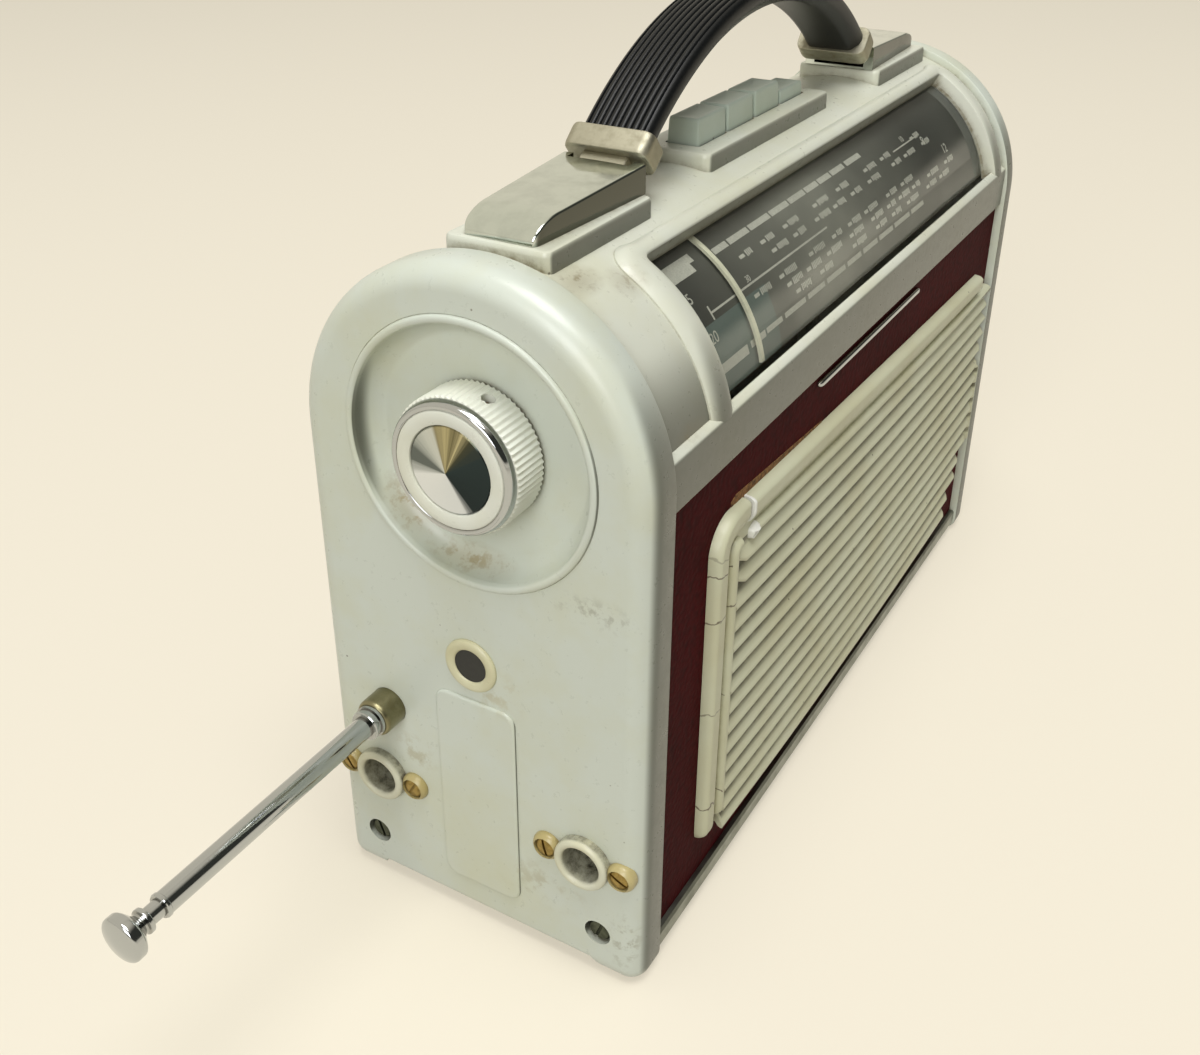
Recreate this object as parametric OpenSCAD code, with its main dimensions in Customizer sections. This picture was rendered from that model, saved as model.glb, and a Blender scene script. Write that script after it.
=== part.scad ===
// Portable transistor radio: arched case, curved tuning window, louvred grille, strap handle
// Case axes: +X to the right seen from the front, front is -Y, +Z up, all in millimetres

/* [Case] */
// Length over both end panels
case_l = 290; // [284:1:310]
// Depth of the end panels, front to back
case_d = 100; // [98:1:108]
// Height of the case without its handle
case_h = 197; // [194:1:206]
// Depth of an end panel's rim along the case
panel_t = 12; // [11:0.5:14]
// Wall of the end panels
panel_wall = 3; // [2.5:0.5:3.5]
// Radius round the outer edge of an end panel
edge_r = 6; // [4:0.5:7]
// Step from the end panels' rim down to the shell
rim_step = 2.5; // [2:0.5:3]
// Wall of the top shell
shell_wall = 2.5; // [2:0.5:3]
// Height of the arched gap between the feet
foot_gap = 5; // [4.5:0.5:6]
// Width of one foot, front to back
foot_w = 12; // [10:1:14]
// Thickness of the bottom plate
base_t = 3; // [2:0.5:4]
// Thickness of the front and rear boards
board_t = 3.5; // [3:0.5:4]

/* [Tuning window] */
// Left edge of the window from the case centre
window_left = 101; // [96:1:104]
// Right edge of the window from the case centre
window_right = 121; // [112:1:123]
// Angle of the window's upper edge from the top of the arch
window_a0 = 28.5; // [27:0.5:31]
// Angle of the window's lower edge from the top of the arch
window_a1 = 79; // [74:0.5:80]
// Width of the raised frame beside the window
frame_w = 9.5; // [8:0.5:10]
// Height of the raised frame above the shell
frame_h = 2; // [1.5:0.25:2.5]
// Drop of the band's lower edge below the arch's axis
band_drop = 7; // [5:0.5:9]
// Height of the band under the window
band_h = 17; // [15:0.5:18]
// Place of the pointer along the case
pointer_x = -70; // [-85:1:40]

/* [Knobs] */
// Height of both knobs' axis above the arch's axis
knob_rise = 3; // [2:0.5:4]
// Place of both knobs' axis, front to back
knob_y = -1; // [-2:0.5:1]
// Radius of the knurled skirt
knob_r = 17.8; // [16:0.2:19]
// How far a knob stands out of its end panel
knob_out = 7; // [5:0.5:9]
// Radius of the recess round a knob
recess_r = 33.5; // [32:0.5:35]
// Radius of the recess floor
recess_floor_r = 29; // [27:0.5:30]
// Depth of the recess
recess_depth = 7; // [6:0.5:7.5]
// Number of flutes round a knob
flutes = 72; // [48:4:80]
// Radius of the tuning and volume spindles
spindle_r = 3; // [2.5:0.25:3.5]

/* [Keys] */
// Width of one key along the case
key_w = 17.4; // [16:0.2:17.6]
// Spacing of the keys
key_pitch = 18.6; // [18.4:0.2:19.4]
// Depth of a key at its foot, front to back
key_d = 10; // [8:0.5:11]
// Height of a key above its pad
key_h = 7.3; // [6:0.1:9]
// Travel of a key
key_travel = 3.5; // [2.5:0.25:4]

/* [Handle] */
// Half the span between the two ends of the strap
handle_half = 76; // [74:0.5:78]
// Rise of the strap's middle over its ends
handle_rise = 28.5; // [24:0.5:34]
// Width of the strap
strap_w = 20; // [16:0.5:21]
// Thickness of the strap
strap_t = 8; // [6:0.5:8.5]
// Number of grooves along the strap
grooves = 9; // [6:1:10]

/* [Grille] */
// Left edge of the grille from the case centre
grille_left = 120.5; // [117:0.5:123]
// Gap between the grille and the band above it
grille_drop = 4; // [3:0.5:6]
// Width of the outer bead
bead_w = 11; // [9:0.5:12]
// Width of the inner bead
inner_bead_w = 5; // [4:0.5:6]
// Spacing of the slats
slat_pitch = 6.4; // [6:0.1:6.6]
// Number of slats
slats = 14; // [10:1:14]

/* [Aerial] */
// Height of the aerial's axis
aerial_z = 65.5; // [64.5:0.5:67]
// Place of the aerial's axis, front to back
aerial_y = 29; // [28:0.5:30]
// Length of rod drawn out of the second section
aerial_out = 73; // [40:1:100]
// Length of each sliding section
section_l = 160; // [150:1:165]

/* [Sockets] */
// Height of the two round sockets
socket_z = 40; // [38:0.5:42]
// Distance of each socket from the middle of the end panel
socket_y = 33; // [31:0.5:33.5]
// Radius of the socket's bore
socket_bore_r = 5.5; // [4.5:0.25:5.75]
// Distance from a socket's axis to each of its screws
ear_offset = 11.2; // [10.8:0.1:11.8]

/* [Hidden] */
$fn = 64;
eps = 0.01;
running = 0.05;

cream = "#dedac8";
key_green = "#9fa99b";
leather_red = "#4a0c12";
bright = "#d5d6d6";
nickel = "#a89f8c";
strap_black = "#1b1c1e";
brass = "#a98b4a";
dark = "#33312e";
steel = "#9a9c9e";

half_l = case_l / 2;
arch_r = case_d / 2;
arch_z = case_h - arch_r;
shell_r = arch_r - rim_step;
shell_ri = shell_r - shell_wall;
inner_x = half_l - panel_t;
front_y = -shell_r + 0.5;
rear_y = shell_r - 0.5;
floor_z = foot_gap + base_t;
board_z0 = floor_z;
foot_r = 5.5;
cover_screw_x = inner_x - 6;
band_z = arch_z - band_drop;
knob_z = arch_z + knob_rise;
grille_top = band_z - grille_drop;

// Places on the outer face of an end panel, written for the left end
rim_w = arch_r - shell_ri + 0.2;
recess_boss_wall = 2.2;
cap_cone = 1.2;
recess_lip = 2;
dish_back = half_l - recess_depth - recess_boss_wall;
screw_y = 37;
screw_z = 15.5;
screw_r = 3.6;
plate_y = 12.5;
plate_z0 = 13.5;
plate_out = 0.8;
plate_r = 4;
port_z = knob_z - 60;
plate_z1 = port_z - 11;
port_y = 0.5;
port_r = 7.8;
port_ri = 4.8;

// Sockets
flange_r = socket_bore_r + 2.5;
flange_out = 3.2;
socket_body_r = socket_bore_r + 1.4;
socket_depth = 12.5;
bore_depth = 8;
contact_r = socket_bore_r - 0.7;
ear_r = 4.2;
ear_sunk = 1.8;
ear_out = 2.2;
ear_screw_r = 1.5;

// Aerial radii: each section slides in the next larger one
tube_r = 4.6;
section_1_r = 4.05;
section_2_r = 3;
section_3_r = 2.3;
tube_x0 = -half_l - 8.5;
tube_x1 = tube_x0 + section_l + 8;
section_1_x = tube_x0 - 2.5;
section_2_x = section_1_x - aerial_out;
section_3_x = section_2_x - 4;
sleeve_out = 7.5;
tip_l = 9;

// Window, scale and pointer lie on the arch in layers, counted inwards from the shell
window_gap = 0.1;
window_ro = shell_ri - window_gap;
window_ri = window_ro - 1.4;
pointer_ro = window_ri - 0.5;
pointer_ri = pointer_ro - 0.8;
dial_ro = pointer_ri - 0.8;
dial_ri = dial_ro - 1;
rail_a = 20;
rail_r = shell_ri - 9;
rail_rod_r = 1.5;
travel_left = 22;
travel_right = 182;

// Tuning drive: spindle pulley, drum and gang capacitor
pulley_r = 10;
drum_r = 27;
drum_x = -75;
drum_z = knob_z;
post_y = rear_y - 30;
drum_y0 = post_y - 9;
drum_t = 6;
cap_x0 = -95;
cap_w = 40;
cap_y0 = post_y + 1;
cap_d = 20;
shelf_t = 1.5;
shelf_z = arch_z - 17;
cap_h = 35;
cap_axis_r = 2.5;

// Keys and their switch bank
pad_top = arch_z + shell_r + 3.7;
pad_half_l = 43;
pad_half_w = 11.5;
pad_under = pad_top - 10.2;
key_gap = 0.4;
key_skirt = 4.2;
stem_w = 6;
stem_d = 3;
stem_gap = 0.15;
bank_top = arch_z + 25;
bank_h = 22;
bank_half_l = 45;
bank_half_w = 11;
bank_plate = 2;
stem_end = bank_top - bank_h + bank_plate + key_travel + 0.5;

// Handle
shoe_pad_z = arch_z + shell_r + 3;
shoe_pad_x0 = handle_half + 4;
shoe_pad_l = inner_x - 4 - shoe_pad_x0;
shoe_pad_half_w = 14.5;
shoe_l = shoe_pad_l - 1;
shoe_nose = 10;
shoe_h0 = 5.8;
shoe_h1 = 7.5;
shoe_w0 = 20;
shoe_w1 = 24;
strap_end_z = shoe_pad_z + 7.8;
strap_rm = (handle_half * handle_half + handle_rise * handle_rise) / (2 * handle_rise);
strap_cz = strap_end_z + handle_rise - strap_rm;
strap_a = asin(handle_half / strap_rm);
ferrule_w = strap_w + 4;
ferrule_t = strap_t + 2.2;
ferrule_l = 6.5;
pin_r = 1.25;
pin_x = shoe_pad_x0 + 2.2;
pin_z = shoe_pad_z + 3.6;
knuckle_r = 2.5;
knuckle_w = 13;

// Grille, counted from the front of the front panel
cloth_t = 0.6;
grille_y0 = front_y - cloth_t;
bead_h = 5.8;
groove_w = 1.5;
inner_bead_h = 5;
corner_r = 20;
field_x0 = -grille_left + bead_w + groove_w + inner_bead_w;
field_z1 = grille_top - bead_w - groove_w - inner_bead_w;
field_z0 = field_z1 - slats * slat_pitch;
grille_right = 97;
leg_z0 = field_z0 + 7;
slat_lap = 0.6;
// Right ends of the slats, from the top one down, where the frame has come away
slat_ends = [107, 105.5, 104, 102, 103, 104, 104, 104, 103, 101.5, 99.5, 98, 97.5, 96];

// Speaker, board and battery places
speaker_x = 0;
speaker_z = 73.5;
speaker_r = 51;
basket_r = speaker_r - 13;
magnet_r = speaker_r - 29;
speaker_hole_r = speaker_r - 7.5;
post_w = 10;
post_t = 3;
pcb_z0 = 72;
pcb_l = 160;
pcb_x0 = -45;
ferrite_a = 34;
ferrite_out = shell_ri - 7.5;
ferrite_y = ferrite_out * sin(ferrite_a);
ferrite_z = arch_z + ferrite_out * cos(ferrite_a);
ferrite_r = 5;
ferrite_l = 210;
cell_r = 13;
cell_l = 49;
box_wall = 1.5;
box_x0 = 17.5;
box_y0 = rear_y - board_t - 2 * cell_r - 3.5;

// The frame's origin is the middle of the whole object's footprint
knob_reach = half_l + knob_out + cap_cone;
tip_reach = -(section_3_x - tip_l);
frame_dx = (tip_reach - knob_reach) / 2;
frame_dy = (bead_h - grille_y0 - arch_r) / 2;

module place() translate([frame_dx, frame_dy, 0]) children();

// Turns a shape drawn round Z so that it lies round the case's long axis, from the top forward
module round_x(z = arch_z, y = 0) translate([0, y, z]) rotate([180, 0, 0]) rotate([0, 90, 0]) children();

// A ring sector on the arch: radii, ends along X and angles from the top forward
module arc_x(r0, r1, x0, x1, a0, a1)
  round_x() rotate([0, 0, a0]) rotate_extrude(angle = a1 - a0, $fn = 180)
    translate([r0, x0]) square([r1 - r0, x1 - x0]);

// A turned piece on an axis parallel to X: points are [distance along X, radius]
module turned_x(y, z, points) translate([0, y, z]) rotate([0, 90, 0])
  rotate_extrude($fn = 96) polygon([for (p = points) [p[1], p[0]]]);

// A plain pin or hole parallel to X between two places
module pin_x(x0, x1, y, z, r) translate([x0, y, z]) rotate([0, 90, 0]) cylinder(r = r, h = x1 - x0);

// A plain pin or hole parallel to Y between two places
module pin_y(x, y0, y1, z, r) translate([x, y0, z]) rotate([-90, 0, 0]) cylinder(r = r, h = y1 - y0);

// A profile in the Y-Z plane run along X
module along_x(x0, x1) translate([x0, 0, 0]) rotate([90, 0, 90]) linear_extrude(x1 - x0) children();

// A profile in the X-Z plane run along Y
module along_y(y0, y1) translate([0, y1, 0]) rotate([90, 0, 0]) linear_extrude(y1 - y0) children();

module block(x0, x1, y0, y1, z0, z1) translate([x0, y0, z0]) cube([x1 - x0, y1 - y0, z1 - z0]);

module mirror_right(side) mirror([side > 0 ? 1 : 0, 0, 0]) children();

function arc_points(cx, cy, r, a0, a1, n = 8) =
  [for (i = [0:n]) let (a = a0 + (a1 - a0) * i / n) [cx + r * cos(a), cy + r * sin(a)]];

// Section of a panel's rim: [radius from the arch axis, depth from the outer face]
function rim_section(r) = concat([[0, 0]], arc_points(r - edge_r, edge_r, edge_r, -90, 0), [[r, panel_t], [0, panel_t]]);

// Outline of an end panel seen along X, with its two feet
module panel_outline() {
  foot_slope = 3;
  inner_edge = arch_r - foot_w;
  polygon(concat(
    [[-arch_r, arch_z]],
    arc_points(-arch_r + foot_r, foot_r, foot_r, 180, 270),
    [[-inner_edge, 0], [-inner_edge + foot_slope, foot_gap], [inner_edge - foot_slope, foot_gap], [inner_edge, 0]],
    arc_points(arch_r - foot_r, foot_r, foot_r, 270, 360),
    [[arch_r, arch_z]]));
}

// The panel as a solid tray blank: arch and straight part with the rounded outer edge
module panel_blank() {
  section = rim_section(arch_r);
  flipped = [for (i = [len(section) - 1:-1:0]) section[i]];
  translate([-half_l, 0, 0]) round_x() rotate([0, 0, -90])
    rotate_extrude(angle = 180, $fn = 180) polygon(section);
  intersection() {
    translate([-half_l, 0, 0]) linear_extrude(arch_z + eps)
      polygon(concat([for (p = section) [p[1], p[0]]], [for (p = flipped) [p[1], -p[0]]]));
    along_x(-half_l, -inner_x) panel_outline();
    along_y(-arch_r, arch_r)
      polygon(concat(arc_points(-half_l + edge_r, edge_r, edge_r, 180, 270), [[-inner_x, 0], [-inner_x, arch_z + eps], [-half_l, arch_z + eps]]));
  }
}

// Everything that both end panels share, drawn for the left end
module end_panel() {
  face = -half_l;
  difference() {
    union() {
      difference() {
        panel_blank();
        // Hollow behind the outer wall
        intersection() {
          union() {
            pin_x(face + panel_wall, -inner_x + eps, 0, arch_z, arch_r - rim_w);
            block(face + panel_wall, -inner_x + eps, -arch_r + rim_w, arch_r - rim_w, floor_z + 2, arch_z);
          }
          block(face, 0, -arch_r, arch_r, floor_z + 2, case_h);
        }
      }
      // Dish that holds the knob
      pin_x(face + 1, face + recess_depth + recess_boss_wall, knob_y, knob_z, recess_r + recess_lip);
      // Raised bead round the dish
      turned_x(knob_y, knob_z, concat([[face + 1, recess_r]],
        [for (a = [0:30:180]) [face - 0.9 * sin(a), recess_r + recess_lip / 2 - recess_lip / 2 * cos(a)]],
        [[face + 1, recess_r + recess_lip]]));
      // Bosses behind the sunk case screws
      for (s = [-1, 1]) pin_x(face + 2, -inner_x, s * screw_y, screw_z, screw_r + 2);
    }
    // Bowl of the dish
    turned_x(knob_y, knob_z, concat([[face - 2, 0], [face - 2, recess_r]],
      [for (a = [0:15:90]) [face + recess_depth * sin(a), recess_r - (recess_r - recess_floor_r) * (1 - cos(a))]],
      [[face + recess_depth, 0]]));
    pin_x(face, -inner_x, knob_y, knob_z, spindle_r + running);
    for (s = [-1, 1]) {
      pin_x(face - 1, face + 3, s * screw_y, screw_z, screw_r + 0.3);
      pin_x(face - 1, -inner_x + 1, s * screw_y, screw_z, screw_r / 2 + 0.1);
    }
  }
}

module left_end_panel() color(cream) {
  face = -half_l;
  difference() {
    union() {
      end_panel();
      // Plain raised plate with round corners
      along_x(face - plate_out, face + 1) {
        polygon(concat(
          arc_points(-plate_y + plate_r, plate_z0 + plate_r, plate_r, 180, 270),
          arc_points(plate_y - plate_r, plate_z0 + plate_r, plate_r, 270, 360),
          arc_points(plate_y - plate_r, plate_z1 - plate_r, plate_r, 0, 90),
          arc_points(-plate_y + plate_r, plate_z1 - plate_r, plate_r, 90, 180)));
      }
    }
    for (s = [-1, 1]) {
      pin_x(face - 1, face + panel_wall + 1, s * socket_y, socket_z, socket_body_r + 0.1);
      for (e = [-1, 1]) {
        pin_x(face - 1, face + panel_wall + 2.5, s * socket_y + e * ear_offset, socket_z, ear_screw_r + running);
        pin_x(face - 1, face + ear_sunk, s * socket_y + e * ear_offset, socket_z, ear_r);
      }
    }
    pin_x(face - 1, face + panel_wall + 1, port_y, port_z, port_ri + 0.6);
    pin_x(face - 1, face + panel_wall + 1, aerial_y, aerial_z, tube_r + 0.9);
  }
}

module right_end_panel() color(cream) mirror_right(1) end_panel();

// A pad on the crown of the shell, from its underside up to its flat top
module crown_pad(x0, x1, half_w, z0, z1) {
  chamfer = 1;
  along_x(x0, x1) polygon([[-half_w, z0], [half_w, z0], [half_w, z1 - chamfer], [half_w - chamfer, z1],
    [-half_w + chamfer, z1], [-half_w, z1 - chamfer]]);
}

module key_slots(gap, z0, z1) {
  for (i = [0:3]) {
    x = (i - 1.5) * key_pitch;
    block(x - key_w / 2 - gap, x + key_w / 2 + gap, -key_d / 2 - gap, key_d / 2 + gap, z0, z1);
  }
}

module top_shell() color(cream) {
  band_y = shell_r + 1.2;
  bevel = 0.8;
  bead_a0 = window_a0 - 6.5;
  difference() {
    union() {
      arc_x(shell_ri, shell_r, -inner_x, inner_x, -90, 90);
      // Raised frame that is left round the window
      arc_x(shell_r - 0.5, shell_r + frame_h, -window_left - frame_w, inner_x, bead_a0, window_a1 - 2);
      crown_pad(-pad_half_l, pad_half_l, pad_half_w, pad_under, pad_top);
      for (s = [-1, 1])
        crown_pad(s > 0 ? shoe_pad_x0 : -shoe_pad_x0 - shoe_pad_l, s > 0 ? shoe_pad_x0 + shoe_pad_l : -shoe_pad_x0,
          shoe_pad_half_w, arch_z + shell_ri - 2, shoe_pad_z);
    }
    arc_x(shell_ri - 3, arch_r + 4, -window_left, window_right, window_a0, window_a1);
    key_slots(key_gap, pad_under - 1, pad_top + 1);
    // The frame's upper edge is stepped
    arc_x(shell_r + frame_h / 2, arch_r + 4, -inner_x - 1, inner_x + 1, bead_a0 - 2, bead_a0 + 1.2);
  }
  // Flat bands along the lower edges, front and rear
  for (s = [0, 1]) mirror([0, s, 0]) along_x(-inner_x, inner_x)
    polygon([[-shell_ri, band_z], [-band_y + bevel, band_z], [-band_y, band_z + bevel],
      [-band_y, band_z + band_h - 2 * bevel], [-band_y + bevel, band_z + band_h - bevel],
      [-sqrt(shell_r * shell_r - pow(band_z + band_h - arch_z, 2)) + 0.3, band_z + band_h], [-shell_ri, arch_z]]);
  // Curved ribs that carry the scale plate
  for (x = [-window_left - frame_w, window_right + 3])
    arc_x(dial_ro, shell_ri + 0.5, x, x + 3.5, window_a0 - 2, window_a1 + 1);
}

module bottom_plate() color(dark) {
  edge = 0.5;
  hole_x = inner_x - 33;
  difference() {
    block(-inner_x, inner_x, -shell_r + edge, shell_r - edge, foot_gap, floor_z);
    for (s = [-1, 1]) for (e = [-1, 1]) translate([s * hole_x, e * 25, 0]) cylinder(r = 2, h = floor_z + 1);
  }
}

module front_panel() color(leather_red) difference() {
  block(-inner_x, inner_x, front_y, front_y + board_t, board_z0, band_z);
  pin_y(speaker_x, front_y - 1, front_y + board_t + 1, speaker_z, speaker_hole_r);
}

// Removable rear board with a field of upright sound slots
module rear_cover() color(leather_red) {
  slot_count = 13;
  slot_pitch = 7;
  slot_w = 2.4;
  slot_z1 = band_z - 25;
  slot_z0 = slot_z1 - 30;
  difference() {
    block(-inner_x, inner_x, rear_y - board_t, rear_y, board_z0, band_z);
    for (i = [0:slot_count - 1]) translate([(i - (slot_count - 1) / 2) * slot_pitch, 0, 0]) {
      block(-slot_w / 2, slot_w / 2, rear_y - board_t - 1, rear_y + 1, slot_z0, slot_z1);
      for (z = [slot_z0, slot_z1]) pin_y(0, rear_y - board_t - 1, rear_y + 1, z, slot_w / 2);
    }
    for (s = [-1, 1]) pin_y(s * cover_screw_x, rear_y - board_t - 1, rear_y + 1, 20, 2.55);
  }
}

module slotted_head(r, h, slot) difference() {
  union() {
    cylinder(r = r, h = h * 0.6);
    translate([0, 0, h * 0.6]) cylinder(r1 = r, r2 = r * 0.8, h = h * 0.4);
  }
  translate([-r - 1, -slot / 2, h * 0.55]) cube([2 * r + 2, slot, h]);
}

// Coin-slot screws of the rear cover
module cover_screws() color(steel) for (s = [-1, 1]) translate([s * cover_screw_x, rear_y, 20]) rotate([-90, 0, 0]) {
  slotted_head(5, 2.2, 1.6);
  translate([0, 0, -board_t - 4]) cylinder(r = 2.5, h = board_t + 4 + eps);
}

// Sunk screws that hold the end panels to the frame
module panel_screws() color(dark) for (side = [-1, 1]) mirror_right(side) for (s = [-1, 1])
  translate([-half_l, s * screw_y, screw_z]) rotate([0, -90, 0]) rotate([0, 0, 20 * s]) {
    translate([0, 0, -3]) slotted_head(screw_r, 2, 0.9);
    translate([0, 0, -panel_t]) cylinder(r = screw_r / 2, h = panel_t - 3 + eps);
  }

module bottom_trim() color(steel) along_x(-inner_x, inner_x)
  polygon([[front_y, floor_z - 1.2], [front_y, foot_gap - 1.5], [front_y - 0.8, foot_gap - 1.5],
    [front_y - 2, foot_gap - 0.5], [front_y - 2, floor_z + 0.6], [front_y - 1.4, floor_z + 1.4], [front_y, floor_z + 1.4]]);

// Rounded bead section: u across its width, v up from the panel
function bead_section(w, h) = concat([[0, 0]],
  [for (a = [165:-15:15]) [w / 2 + w / 2 * cos(a), h * pow(sin(a), 0.6)]], [[w, 0]]);

// A bead that runs up the left side, round the corner and along the top
module corner_bead(inset, w, h, z0, x1) {
  section = bead_section(w, h);
  // The straight runs are a shade slimmer than the corner, so that their ends lie inside it
  slim = 0.05;
  run = [for (p = bead_section(w - 2 * slim, h - slim)) [p[0] + slim, p[1]]];
  cx = -grille_left + corner_r;
  cz = grille_top - corner_r;
  outer = corner_r - inset;
  // Left leg
  translate([-grille_left + inset, grille_y0, z0]) linear_extrude(cz - z0)
    polygon([for (p = run) [p[0], -p[1]]]);
  // Corner
  translate([cx, grille_y0, cz]) rotate([90, 0, 0]) rotate([0, 0, 90])
    rotate_extrude(angle = 90, $fn = 96) polygon([for (p = section) [outer - w + p[0], p[1]]]);
  // Top
  along_x(cx, x1) polygon([for (p = run) [grille_y0 - p[1], grille_top - inset - w + p[0]]]);
}

module slat(z, x1) {
  lean = 4;
  lip = 1;
  back = grille_y0 - 1.4;
  along_x(field_x0 - 0.8, x1) polygon([[back, z], [back - lean, z - 4.6], [back - lean, z - 4.6 - lip],
    [back - lean + 1, z - 4.6 - lip], [back, z - 2.4]]);
}

// Louvred grille with an outer and an inner bead on its left and top sides
module grille() color(cream) {
  corner_bead(0, bead_w, bead_h, leg_z0, grille_right);
  corner_bead(bead_w + groove_w, inner_bead_w, inner_bead_h, leg_z0 - 2, slat_ends[0] + 2);
  // Thin web under both beads
  block(-grille_left + 1, field_x0 - 1, grille_y0 - 1.4, front_y, leg_z0 + 1, grille_top - corner_r - 3);
  block(-grille_left + corner_r - 4, grille_right - 0.5, grille_y0 - 1.4, front_y, field_z1 + 1, grille_top - 1);
  for (i = [0:slats - 1]) slat(field_z1 + slat_lap - i * slat_pitch, slat_ends[i]);
  // Upright ribs behind the slats
  for (x = [field_x0 - 0.8, -50, 0, 50, 93]) block(x, x + 2, grille_y0 - 1.8, grille_y0, field_z0 + 2.5, field_z1 + 1.2);
  // What is left of the right inner bead
  translate([slat_ends[7] - inner_bead_w + 0.3, grille_y0, field_z1 - 9.4 * slat_pitch]) linear_extrude(5.4 * slat_pitch)
    polygon([for (p = bead_section(inner_bead_w, inner_bead_h)) [p[0], -p[1]]]);
}

module speaker_cloth() color(dark)
  block(field_x0 - 0.5, slat_ends[0] - 4, grille_y0, front_y, field_z0 + 2, field_z1 + 0.5);

module dial_window() color("#c9d4d2", 0.3)
  arc_x(window_ri, window_ro, -window_left - 3, window_right + 2.5, window_a0 - 1.5, window_a1 + 1);

module dial_plate() color("#2c302d")
  arc_x(dial_ri, dial_ro, -window_left - frame_w, window_right + 6.5, window_a0 - 2, window_a1 + 2);

// Curved pointer that hangs from a carriage on the rail
module pointer() color(cream) {
  half_w = 0.9;
  difference() {
    union() {
      arc_x(pointer_ri, pointer_ro, pointer_x - half_w, pointer_x + half_w, rail_a - 2.5, window_a1);
      arc_x(rail_r - 1, pointer_ri + 0.3, pointer_x - half_w, pointer_x + half_w, rail_a - 2.5, rail_a + 2.5);
      arc_x(rail_r - 3, rail_r + 3, pointer_x - 6, pointer_x + 6, rail_a - 4.5, rail_a + 4.5);
    }
    pin_x(pointer_x - 10, pointer_x + 10, -rail_r * sin(rail_a), arch_z + rail_r * cos(rail_a), rail_rod_r + running);
  }
}

// Straight rod that reaches from the back of one dish to the back of the other
module pointer_rail() color(steel)
  pin_x(-dish_back, dish_back, -rail_r * sin(rail_a), arch_z + rail_r * cos(rail_a), rail_rod_r);

// Fluted knob body, drawn for the left end
module knob_body() {
  back = -half_l + recess_depth - 0.8;
  front = -half_l - knob_out;
  skirt_end = front + 2.6;
  bore_r = spindle_r + 0.02;
  difference() {
    union() {
      translate([skirt_end, knob_y, knob_z]) rotate([0, 90, 0]) linear_extrude(back - skirt_end)
        polygon([for (i = [0:2 * flutes - 1]) let (a = 180 * i / flutes, r = knob_r - (i % 2) * 0.5) [r * cos(a), r * sin(a)]]);
      turned_x(knob_y, knob_z, [[skirt_end + eps, 0], [skirt_end + eps, knob_r - 2.2], [front + 0.4, knob_r - 3.4],
        [front + 0.4, knob_r - 6.5], [front + 2, knob_r - 6.5], [front + 2, 0]]);
    }
    pin_x(front + 4, back + 1, knob_y, knob_z, bore_r);
    // Radial hole for the grub screw
    translate([-half_l + 1.5, knob_y, knob_z]) rotate([20, 0, 0]) cylinder(r = 1.6, h = knob_r + 1);
  }
}

module knob_ring() {
  front = -half_l - knob_out;
  turned_x(knob_y, knob_z, [[front + 2.6, knob_r - 2.2 + running], [front + 2.6, knob_r - 0.6], [front + 1.8, knob_r - 0.8],
    [front + 0.3, knob_r - 1.6], [front, knob_r - 2.2], [front, knob_r - 2.9], [front + 0.4, knob_r - 3.4 + running]]);
}

// Spun disc with a low cone in the middle
module knob_cap() {
  front = -half_l - knob_out;
  turned_x(knob_y, knob_z, [[front + 2, 0], [front + 2, knob_r - 6.6], [front + 0.9, knob_r - 6.6], [front + 0.9, knob_r - 7.4], [front - cap_cone, 0]]);
}

module tuning_knob() color(cream) knob_body();
module tuning_knob_ring() color(bright) knob_ring();
module tuning_knob_cap() color(bright) knob_cap();
module volume_knob() color(cream) mirror_right(1) knob_body();
module volume_knob_ring() color(bright) mirror_right(1) knob_ring();
module volume_knob_cap() color(bright) mirror_right(1) knob_cap();

module tuning_knob_screw() color(brass) translate([-half_l + 1.5, knob_y, knob_z]) rotate([20, 0, 0]) difference() {
  translate([0, 0, spindle_r + running]) cylinder(r = 1.55, h = knob_r - spindle_r - 2.4);
  translate([-2, -0.3, knob_r - 3.2]) cube([4, 0.6, 3]);
}

// Spindle with the cord pulley of the tuning drive
module tuning_shaft() color(steel) {
  pulley_x = -half_l + 27;
  difference() {
    pin_x(-half_l - knob_out + 4.2, pulley_x + 8, knob_y, knob_z, spindle_r);
    pin_x(pulley_x + 9, pulley_x + 10, knob_y, knob_z, spindle_r);
  }
  turned_x(knob_y, knob_z, [[pulley_x, 0], [pulley_x, pulley_r + 1.5], [pulley_x + 1, pulley_r + 1.5], [pulley_x + 1.6, pulley_r],
    [pulley_x + 3.4, pulley_r], [pulley_x + 4, pulley_r + 1.5], [pulley_x + 5, pulley_r + 1.5], [pulley_x + 5, 0]]);
}

module volume_shaft() color(steel)
  pin_x(half_l - panel_t - 6, half_l + knob_out - 4.2, knob_y, knob_z, spindle_r);

// Volume control with its threaded bush against the back of the dish
module volume_control() color(nickel) {
  x1 = half_l - recess_depth - recess_boss_wall;
  difference() {
    union() {
      pin_x(x1 - 14, x1 - 4, knob_y, knob_z, 12);
      pin_x(x1 - 4 - eps, x1, knob_y, knob_z, 5);
      block(x1 - 10, x1 - 8, knob_y - 6, knob_y + 6, knob_z - 20, knob_z - 8);
    }
    pin_x(half_l - panel_t - 6 - 0.2, x1 + 1, knob_y, knob_z, spindle_r + running);
  }
}

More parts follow.
